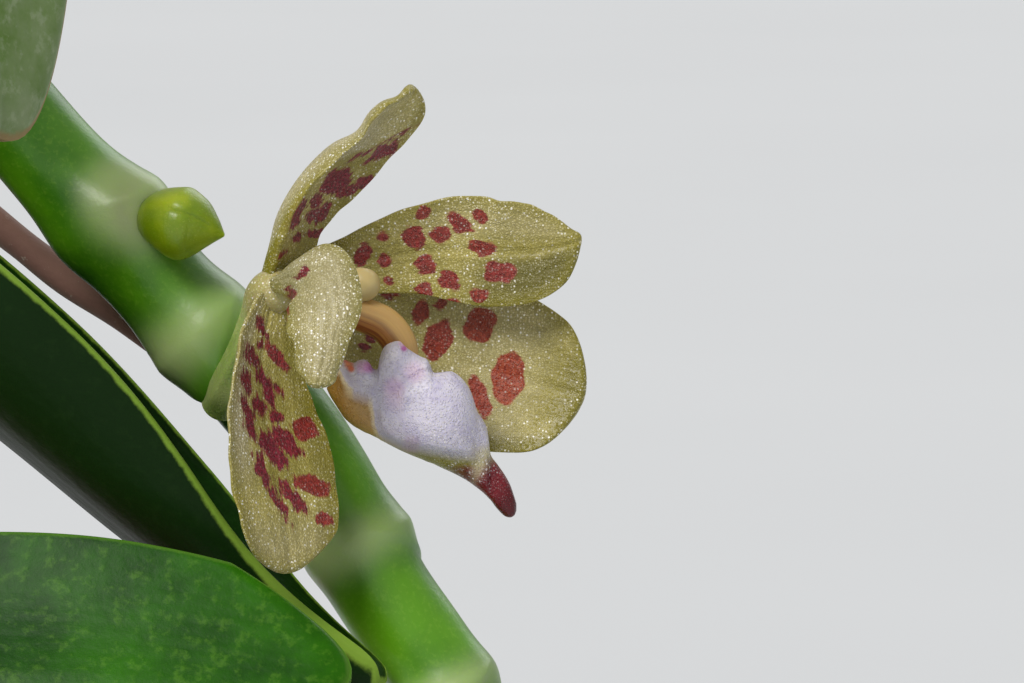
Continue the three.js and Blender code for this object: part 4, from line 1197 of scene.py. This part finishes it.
def tepal_finish(tree, where):
    """Translucent straw skin, olive at its foot and along its rim, paler in places by its own silvery
    tone and by painted light, darker olive in places by painted shade, under painted glints on glassy
    cells with painted shade between them. The stains' borders fray into streaks that run along the blade."""
    spot, tone, stained = (read(tree, name) for name in ("spot", "tone", "stained"))
    edge, foot, pale_and_lit, painted_shade = (read(tree, name) for name in ("edge", "foot", "pale_and_lit", "painted_shade"))
    drawn_out = times(tree, read(tree, "along"), 0.16)
    blade_place = node(tree, "CombineXYZ", {0: read(tree, "across"), 1: drawn_out}).outputs[0]
    streaks = noise(tree, blade_place, 7.0, 4, 0.6)
    clouds = noise(tree, where, 500, 5, 0.6)
    fine = noise(tree, where, 9000, 3, 0.6)
    body = mix(tree, fade(tree, clouds, 0.32, 0.68), colour(152, 142, 62), colour(190, 178, 100))
    body = mix(tree, times(tree, fade(tree, streaks, 0.5, 0.75), 0.3), body, colour(134, 126, 46))
    # Paler where the blade's own silvery tone and painted light lie; darker olive where shade is painted.
    body = mix(tree, times(tree, pale_and_lit, 0.75), body, colour(200, 190, 156))
    body = mix(tree, times(tree, painted_shade, 0.9), body, colour(88, 84, 14))
    body = mix(tree, fade(tree, foot, 0.20, 0.02), body, colour(126, 122, 28))
    body = mix(tree, times(tree, fade(tree, edge, 0.8, 0.0), 0.65), body, colour(138, 130, 26))
    fray = maths(tree, "SUBTRACT", 0.5, times(tree, tone, 0.35))
    frayed = times(tree, maths(tree, "SUBTRACT", streaks, 0.5), fray)
    ragged = plus(tree, spot, frayed, times(tree, fine, 0.08))
    stain = times(tree, fade(tree, ragged, 0.09, 0.0), stained)
    crimson = mix(tree, fade(tree, fine, 0.35, 0.65), colour(84, 4, 24), colour(138, 14, 50))
    orange = mix(tree, fade(tree, fine, 0.35, 0.65), colour(126, 34, 10), colour(164, 62, 28))
    body = mix(tree, stain, body, mix(tree, tone, crimson, orange))
    bare = maths(tree, "SUBTRACT", 1.0, times(tree, stain, 0.7))
    # Painted shade between the glassy cells and painted glints on them, thicker where the blade is painted
    # lit, fewer on the stains.
    patchy = plus(tree, times(tree, fade(tree, clouds, 0.4, 0.6), 0.7), 0.3, times(tree, pale_and_lit, 0.5))
    fine_glints, fine_glint_away = painted_glints(tree, where, 11500, 0.6, 0.52)
    glints, _ = painted_glints(tree, where, 8200, 0.24, 0.44)
    painted_crevice_shade = times(tree, fade(tree, fine_glint_away, 0.42, 0.7), bare, 0.36)
    body = mix(tree, painted_crevice_shade, body, colour(92, 84, 34))
    body = mix(tree, times(tree, fine_glints, patchy, bare, 0.5), body, colour(*FINE_GLINT_TINT))
    body = mix(tree, times(tree, glints, patchy, bare), body, colour(*GLINT_TINT))
    bumps = relief(tree, fade(tree, fine_glint_away, 0.6, 0.0), 0.00003)
    return {"Base Color": body, "Normal": relief(tree, streaks, 0.00004, bumps)}


GLASSY = {"Roughness": 0.36, "Subsurface Weight": 0.25, "Subsurface Scale": 0.0004}
GLASSY |= {"Subsurface Radius": (1.0, 0.9, 0.4), "Specular IOR Level": 0.5}
tepal_skin = finish("tepal_skin", tepal_finish, GLASSY)
for tepal_name, tepal_rows in TEPALS.items():
    tepal_end = round_end(TEPAL_ENDS[tepal_name])
    sheet = blade(tepal_rows, tepal_end, TEPAL_RIB, TEPAL_RIM, TEPAL_GRID, tepal_ripple)
    points, across, along, front = sheet
    points = nudged(points, NUDGES_PX.get(tepal_name, []))
    fold = border_distance(photo_places(points), FOLD_PX) - (0 if tepal_name == FOLDED_TEPAL else FAR_OFF)
    points[..., 1] -= FOLD_LIFT * bell(fold, FOLD_WIDE)
    piece = skin("flower_" + tepal_name, [from_flower(points)], tepal_skin, BLADE_CREASE)
    half_width = curve(tepal_rows, along)[..., 3]
    length = np.sum(np.linalg.norm(np.diff(np.array(tepal_rows)[:, :3], axis=0), axis=1))
    away, spot_tone = spot_distance(photo_places(points), SPOTS_PX[tepal_name])
    seen_face = -front if tepal_name == BACK_SEEN else front
    mark(piece, "spot", away)
    mark(piece, "tone", spot_tone)
    mark(piece, "edge", rim_distance(half_width, across, TEPAL_TAPER))
    mark(piece, "foot", along + (1 if tepal_name in PALE_FEET else 0))
    mark(piece, "across", across * half_width)
    mark(piece, "along", along * length)
    # The fold and the listed places are painted paler, partly by their own tone and partly as light; the
    # listed dark places are painted shade.
    folded = 0.7 * ease(fold / 0.15) * ease((0.95 - along) / 0.35)
    mark(piece, "pale_and_lit", folded + PALE_AND_LIT_PLACES.get(tepal_name, NO_TINT)(across, along))
    mark(piece, "painted_shade", PAINTED_SHADES.get(tepal_name, NO_TINT)(across, along))
    mark(piece, "stained", np.clip(0.08 + 4 * seen_face, 0.08, 1) * (1 - ease(fold / 0.05 + 0.5)))
    seat(piece, tepal_name)

# Column: the short fused stalk of the flower's parts, which runs down as an orange-tan foot to
# the lip's joint. The cream anther cap sits on its end over the pollen.
COLUMN = [
    (0.70, 0.45, 0.02, 0.55),
    (1.50, 0.40, 0.15, 0.74),
    (2.50, 0.32, 0.26, 0.76),
    (2.95, 0.26, 0.28, 0.60),
]
COLUMN_FOOT = [
    (1.60, 0.45, -0.15, 0.60),
    (3.10, 0.52, -0.72, 0.66),
    (4.25, 0.58, -1.20, 0.68),
    (4.86, 0.66, -1.90, 0.66),
    (5.12, 0.72, -2.60, 0.54),
]
COLUMN_RINGS = (60, 80)
COLUMN_AROUND = 48
STREAK_LONG = 0.25
ANTHER_CENTRE = (3.42, 0.15, 0.30)
ANTHER_HALF = (0.74, 0.68)
ANTHER_GRID = (60, 64)
ANTHER_POLE = 0.975


def column_finish(tree, where):
    """Waxy gold-tan with red-brown streaks down it, and a pale band along its upper side."""
    streaks = noise(tree, read(tree, "wrap", "Vector"), 3.2, 4, 0.55)
    fine = noise(tree, where, 7000, 3)
    body = mix(tree, fade(tree, streaks, 0.35, 0.6), colour(186, 136, 58), colour(156, 96, 26))
    body = mix(tree, times(tree, fade(tree, streaks, 0.54, 0.64), 0.8), body, colour(122, 58, 18))
    body = mix(tree, times(tree, read(tree, "pale"), 0.55), body, colour(208, 180, 122))
    return {"Base Color": body, "Normal": relief(tree, streaks, 0.00004, relief(tree, fine, 0.00001))}


def anther_cap():
    """A rounded cap: a ball drawn out along the column, with a shallow cleft over its top."""
    high = np.linspace(-ANTHER_POLE, ANTHER_POLE, ANTHER_GRID[0])[:, None] * math.pi / 2
    turn = full_turn(ANTHER_GRID[1])[None]
    wide = np.cos(high) ** 0.9 * ANTHER_HALF[1]
    cleft = 1 - 0.06 * bell(turn - math.pi / 2, 0.25) * np.cos(high)
    x = ANTHER_HALF[0] * np.sin(high) + 0 * turn
    return np.stack([x, wide * cleft * np.cos(turn), wide * cleft * np.sin(turn)], -1) + ANTHER_CENTRE


def anther_finish(tree, where):
    """Smooth cream-beige wax, faintly mottled."""
    clouds = noise(tree, where, 1500, 4)
    body = mix(tree, clouds, colour(170, 150, 94), colour(196, 178, 124))
    return {"Base Color": body, "Normal": relief(tree, clouds, 0.00002)}


WAXY = {"Roughness": 0.42, "Subsurface Weight": 0.3, "Subsurface Scale": 0.0005}
WAXY |= {"Subsurface Radius": (1.0, 0.6, 0.25)}
column_shells = [
    from_flower(tube(rows, rings, COLUMN_AROUND))
    for rows, rings in zip((COLUMN, COLUMN_FOOT), COLUMN_RINGS)
]
flower_column = skin("flower_column", column_shells, finish("column_skin", column_finish, WAXY))
column_along = np.concatenate([np.linspace(0, 1, rings) for rings in COLUMN_RINGS])
column_turn = np.tile(full_turn(COLUMN_AROUND), len(column_along))
mark(flower_column, "pale", ease(0.1 - 1.6 * np.cos(column_turn - 0.4)))
streak_place = STREAK_LONG * np.repeat(column_along, COLUMN_AROUND)
wrap = np.column_stack([np.cos(column_turn), np.sin(column_turn), streak_place])
mark(flower_column, "wrap", wrap, "FLOAT_VECTOR", "vector")
seat(flower_column, "column")
flower_cap = skin("flower_cap", [from_flower(anther_cap())], finish("anther_skin", anther_finish, WAXY))
seat(flower_cap, "anther_cap")

# Lip: the third petal, a fleshy pouch hinged on the column's foot. It has two small ears, a thick
# white front lobe raised over tan flanks, and a spur that ends in a crimson tip.
LIP_MIDDLE = 0.60
LIP_GRID = (420, 220)
LIP_CREASE = 70
LIP_BULGE = 0.22
LIP_SPUR = 8.35
# The lip's sections: x, the near and the far wall's top, the underside, half the width, and how
# deep the channel between the walls lies.
LIP = [
    (2.10, -3.35, -3.60, -3.75, 0.22, 0.00),
    (2.25, -3.05, -3.35, -4.05, 0.72, 0.10),
    (2.42, -2.85, -3.15, -4.32, 0.96, 0.30),
    (2.60, -2.62, -3.02, -4.60, 1.10, 0.60),
    (2.80, -2.50, -2.98, -4.88, 1.22, 0.85),
    (3.12, -2.60, -2.98, -5.15, 1.32, 1.15),
    (3.34, -2.50, -2.98, -5.28, 1.38, 1.30),
    (3.56, -2.45, -3.00, -5.40, 1.42, 1.40),
    (3.76, -2.60, -3.00, -5.48, 1.46, 1.50),
    (3.92, -2.83, -3.02, -5.56, 1.49, 1.55),
    (4.08, -2.78, -3.02, -5.64, 1.51, 1.60),
    (4.17, -2.30, -3.00, -5.70, 1.52, 1.60),
    (4.34, -1.92, -2.95, -5.79, 1.54, 1.60),
    (4.62, -1.73, -2.90, -5.94, 1.56, 1.60),
    (4.92, -1.69, -2.90, -6.09, 1.58, 1.60),
    (5.14, -1.90, -2.90, -6.19, 1.60, 1.60),
    (5.40, -2.10, -2.90, -6.30, 1.60, 1.55),
    (5.73, -2.30, -2.90, -6.43, 1.60, 1.45),
    (5.96, -2.40, -2.92, -6.53, 1.60, 1.35),
    (6.10, -2.66, -2.95, -6.58, 1.60, 1.25),
    (6.22, -2.93, -3.00, -6.62, 1.60, 1.20),
    (6.46, -2.94, -3.02, -6.74, 1.57, 1.00),
    (6.90, -2.90, -3.05, -6.94, 1.50, 0.75),
    (7.22, -3.10, -3.15, -7.10, 1.40, 0.55),
    (7.46, -3.38, -3.42, -7.24, 1.32, 0.40),
    (7.65, -3.72, -3.75, -7.36, 1.24, 0.25),
    (7.78, -4.15, -4.15, -7.46, 1.16, 0.15),
    (7.90, -4.56, -4.56, -7.55, 1.08, 0.05),
    (8.10, -4.90, -4.90, -7.71, 0.98, 0.00),
    (8.26, -5.25, -5.25, -7.86, 0.86, 0.00),
    (8.34, -5.75, -5.75, -7.95, 0.72, 0.00),
    (8.42, -6.28, -6.28, -8.03, 0.60, 0.00),
    (8.66, -6.62, -6.62, -8.35, 0.54, 0.00),
    (8.94, -7.02, -7.02, -8.62, 0.50, 0.00),
    (9.16, -7.42, -7.42, -8.68, 0.43, 0.00),
    (9.32, -7.88, -7.88, -8.60, 0.32, 0.00),
    (9.40, -8.15, -8.15, -8.42, 0.12, 0.00),
]
# The white lobe's left and lower border, closed far off to the right and above.
WHITE_LOBE_PX = [
    (338, 365), (346, 382), (355, 392), (365, 398), (371, 403), (374, 412), (375, 425), (379, 435),
    (387, 442), (400, 448), (430, 453), (455, 457), (474, 458), (492, 452), (640, 380),
    (640, 200), (300, 200), (300, 330),
]
# The valley under the right ear, and the swellings: x, y, reach in the photograph's points and
# height in millimetres towards the viewer.
VALLEY_PX = [(431, 371), (421, 373), (412, 379), (402, 384), (392, 392), (384, 404)]
VALLEY_DEEP = 0.16
VALLEY_WIDE = 0.15
LIP_SWELLS_PX = [(440, 412, 62, 0.55), (393, 352, 20, 0.18), (362, 368, 16, 0.12), (424, 360, 12, 0.10)]
# Stains on the lip: x, y, reach in the photograph's points, colour and strength.
LIP_STAINS_PX = [
    (369, 367, 6, (206, 120, 196), 0.8),
    (362, 367, 7, (220, 160, 210), 0.6),
    (404, 348, 3.5, (196, 96, 176), 0.9),
    (402, 343, 4, (224, 180, 214), 0.6),
    (394, 388, 11, (222, 180, 214), 0.5),
    (414, 372, 11, (222, 188, 216), 0.5),
    (411, 444, 9, (180, 150, 180), 0.5),
    (349, 364, 5, (232, 140, 90), 0.9),
    (351, 369, 3.5, (230, 120, 70), 0.9),
    (346, 359, 4, (226, 110, 60), 0.8),
]


def lip_rings():
    """Upright sections along x. Below the middle each is a rounded keel; above, its top follows
    the near wall, the channel and the far wall. The near side then swells by domes towards the
    viewer and sinks by a bell-shaped valley. Gives how far each point lies inside the white lobe."""
    count, around = LIP_GRID
    x, near, far, low, half, groove = (v[:, None] for v in curve(LIP, np.linspace(0, 1, count)).T)
    angle = full_turn(around)[None]
    wide, high = np.cos(angle), np.sin(angle)
    across = np.sign(wide) * np.abs(wide) ** 0.85
    waist = low + 0.42 * (np.minimum(near, far) - low)
    top = near + (far - near) * ease((across + 0.45) / 0.9)
    top = top - groove * np.exp(-((across / 0.42) ** 4))
    lift = np.where(high > 0, (top - waist) * np.abs(high) ** 0.34, -(waist - low) * np.abs(high) ** 0.9)
    rings = np.stack([x + 0 * angle, LIP_MIDDLE + half * across, waist + lift], -1)
    place = photo_places(rings)
    inside = border_distance(place, WHITE_LOBE_PX)
    valley = np.array(VALLEY_PX, float)
    to_valley = line_distance(place, valley[:-1], valley[1:])
    swell = LIP_BULGE * ease(inside / 0.35) - VALLEY_DEEP * bell(to_valley, VALLEY_WIDE)
    for px, py, reach, height in LIP_SWELLS_PX:
        off = np.hypot(place[..., 0] - px, place[..., 1] - py) / reach
        swell = swell + height * np.clip(1 - off**2, 0, 1) ** 1.5
    rings[..., 1] -= swell * ease(-across * 2.2) * ease((LIP_SPUR - x) / 1.1)
    return rings, inside


def lip_paint(rings, inside):
    """Colours by place: white lobe with a cream ridge down its left border, lightened partly as a
    painted highlight, tan flank, olive keel that browns towards the spur, and the crimson spur. Gives
    the share of painted glints and pores at each place too."""
    place = photo_places(rings)
    px, py = place[..., 0], place[..., 1]
    tint = lambda *screen: np.array(colour(*screen)[:3])
    blend = lambda base, share, other: base + (other - base) * share[..., None]
    paint = np.zeros((*rings.shape[:2], 3)) + tint(150, 112, 44)
    paint = blend(paint, ease((px - 335) / 40), tint(186, 152, 92))
    paint = blend(paint, ease((py - 432) / 22) * ease((px - 380) / 40), tint(140, 134, 46))
    paint = blend(paint, ease((px - 436) / 34) * ease((py - 462) / 8), tint(104, 34, 22))
    # The cream ridge along the lobe's left border, partly a painted highlight.
    left = ease((392 - px) / 16)
    soft = 0.10 + 0.42 * (1 - left)
    paint = blend(paint, left * ease((inside + 0.20) / 0.14), tint(222, 204, 164))
    paint = blend(paint, ease((inside + soft / 2) / soft), tint(208, 204, 220))
    ears = ease((420 - px) / 60) * ease((400 - py) / 40) * ease((inside + 0.1) / 0.2)
    paint = blend(paint, ears * 0.5, tint(222, 214, 212))
    neck = ease((px - 466) / 14) * ease((py - 440) / 12)
    paint = blend(paint, neck * 0.8, tint(196, 188, 150))
    down_spur = (px - 488) * 0.8 + (py - 466) * 0.6
    paint = blend(paint, ease((down_spur + 8) / 14), tint(112, 0, 18))
    paint = blend(paint, ease((down_spur - 18) / 22) * 0.8, tint(72, 0, 8))
    for x, y, reach, screen, share in LIP_STAINS_PX:
        paint = blend(paint, share * ease(1.4 - np.hypot(px - x, py - y) / reach), tint(*screen))
    # Painted glints and pores over the lower lobe, and a patch of painted glints where the lobe meets the
    # spur.
    low_lobe = ease((px - 385) / 60) * ease((py - 395) / 50) * 0.7
    spur_glints = bell(px - 488, 14) * bell(py - 470, 15)
    return paint, np.maximum(low_lobe * ease(0.5 - down_spur / 10), spur_glints)


def lip_finish(tree, where):
    """The painted colour under fine mottling and pebbled cells, with painted glints thickest where
    the lobe narrows into the spur."""
    paint, glitter = read(tree, "paint", "Color"), read(tree, "glitter")
    fine_glints, away = painted_glints(tree, where, 11000, 0.5, 0.5)
    glints, _ = painted_glints(tree, where, 7600, 0.3, 0.42)
    mottle = noise(tree, where, 1500, 6, 0.65)
    fine = noise(tree, where, 5200, 4, 0.7)
    mottled = times(tree, fade(tree, mottle, 0.42, 0.68), 0.5)
    body = mix(tree, mottled, paint, colour(214, 208, 232), "MULTIPLY")
    pores = times(tree, fade(tree, fine, 0.5, 0.7), glitter, 0.35)
    body = mix(tree, pores, body, colour(136, 132, 144))
    # Painted glints on the lobe.
    body = mix(tree, times(tree, fine_glints, glitter, 0.5), body, colour(240, 236, 238))
    body = mix(tree, times(tree, glints, glitter), body, colour(255, 252, 250))
    wrinkled = times(tree, fine, plus(tree, times(tree, glitter, 1.4), 0.3))
    bumps = relief(tree, fade(tree, away, 0.6, 0.0), 0.00003)
    bumps = relief(tree, wrinkled, 0.00008, bumps)
    return {"Base Color": body, "Normal": relief(tree, mottle, 0.00006, bumps)}


lip_points, lobe_inside = lip_rings()
lip_colours, lip_glitter = lip_paint(lip_points, lobe_inside)
lip_skin = finish("lip_skin", lip_finish, GLASSY)
flower_lip = skin("flower_lip", [from_flower(lip_points)], lip_skin, LIP_CREASE)
mark(flower_lip, "paint", np.dstack([lip_colours, np.ones(LIP_GRID)]), "FLOAT_COLOR", "color")
mark(flower_lip, "glitter", lip_glitter)
seat(flower_lip, "lip")

# Stage: a plain pale floor, soft lights and the camera, which stands where the photograph's
# stood, close to the flower and looking slightly down.
FLOOR_HALF = 25.0
ROOM_TINT = (1.0, 0.99, 0.96, 1.0)
ROOM_STRENGTH = 0.42
SENSOR_WIDTH = 36.0
# Each lamp's way from the plant, how wide it looks in the sky in degrees, its strength and colour.
LAMPS = {
    "key": ((-0.45, -0.75, 0.85), 24, 2.5, (1.0, 0.97, 0.93)),
    "back": ((0.5, 0.9, 0.7), 40, 0.7, (0.95, 0.98, 1.0)),
}


def floor_finish(tree, where):
    """Pale paper with the faintest mottling."""
    clouds = noise(tree, where, 8, 3)
    return {"Base Color": mix(tree, clouds, colour(204, 207, 211), colour(209, 212, 216))}


floor_mesh = bpy.data.meshes.new("floor")
floor_corners = [(FLOOR_HALF * x, FLOOR_HALF * y, 0) for x, y in ((-1, -1), (1, -1), (1, 1), (-1, 1))]
floor_mesh.from_pydata(floor_corners, [], [(0, 1, 2, 3)])
floor_paper = finish("floor_paper", floor_finish, {"Roughness": 0.9, "Specular IOR Level": 0.1})
floor_mesh.materials.append(floor_paper)
floor = placed("floor", floor_mesh)

world = bpy.data.worlds.new("soft_room")
world.use_nodes = True
room = world.node_tree.nodes["Background"]
room.inputs["Color"].default_value = ROOM_TINT
room.inputs["Strength"].default_value = ROOM_STRENGTH
bpy.context.scene.world = world
bpy.context.scene.view_settings.view_transform = "Standard"

for lamp_name, (way, spread, strength, tint) in LAMPS.items():
    data = bpy.data.lights.new(lamp_name, "SUN")
    data.angle = math.radians(spread)
    data.energy = strength
    data.color = tint
    lamp = placed(lamp_name, data)
    lamp.rotation_euler = Vector([-v for v in way]).to_track_quat("-Z", "Y").to_euler()

camera_data = bpy.data.cameras.new("camera")
camera_data.sensor_width = SENSOR_WIDTH
camera_data.lens = SENSOR_WIDTH * CAMERA_DISTANCE * PHOTO_SCALE / (2 * PHOTO_CENTRE[0])
camera_data.clip_start = 0.01
camera_data.clip_end = 100.0
camera = placed("camera", camera_data)
camera.location = from_flower(np.array([FRAME_CENTRE[0], -CAMERA_DISTANCE, FRAME_CENTRE[1]])) / 1000
camera.rotation_euler = (math.pi / 2 - LEAN, 0, 0)
bpy.context.scene.camera = camera
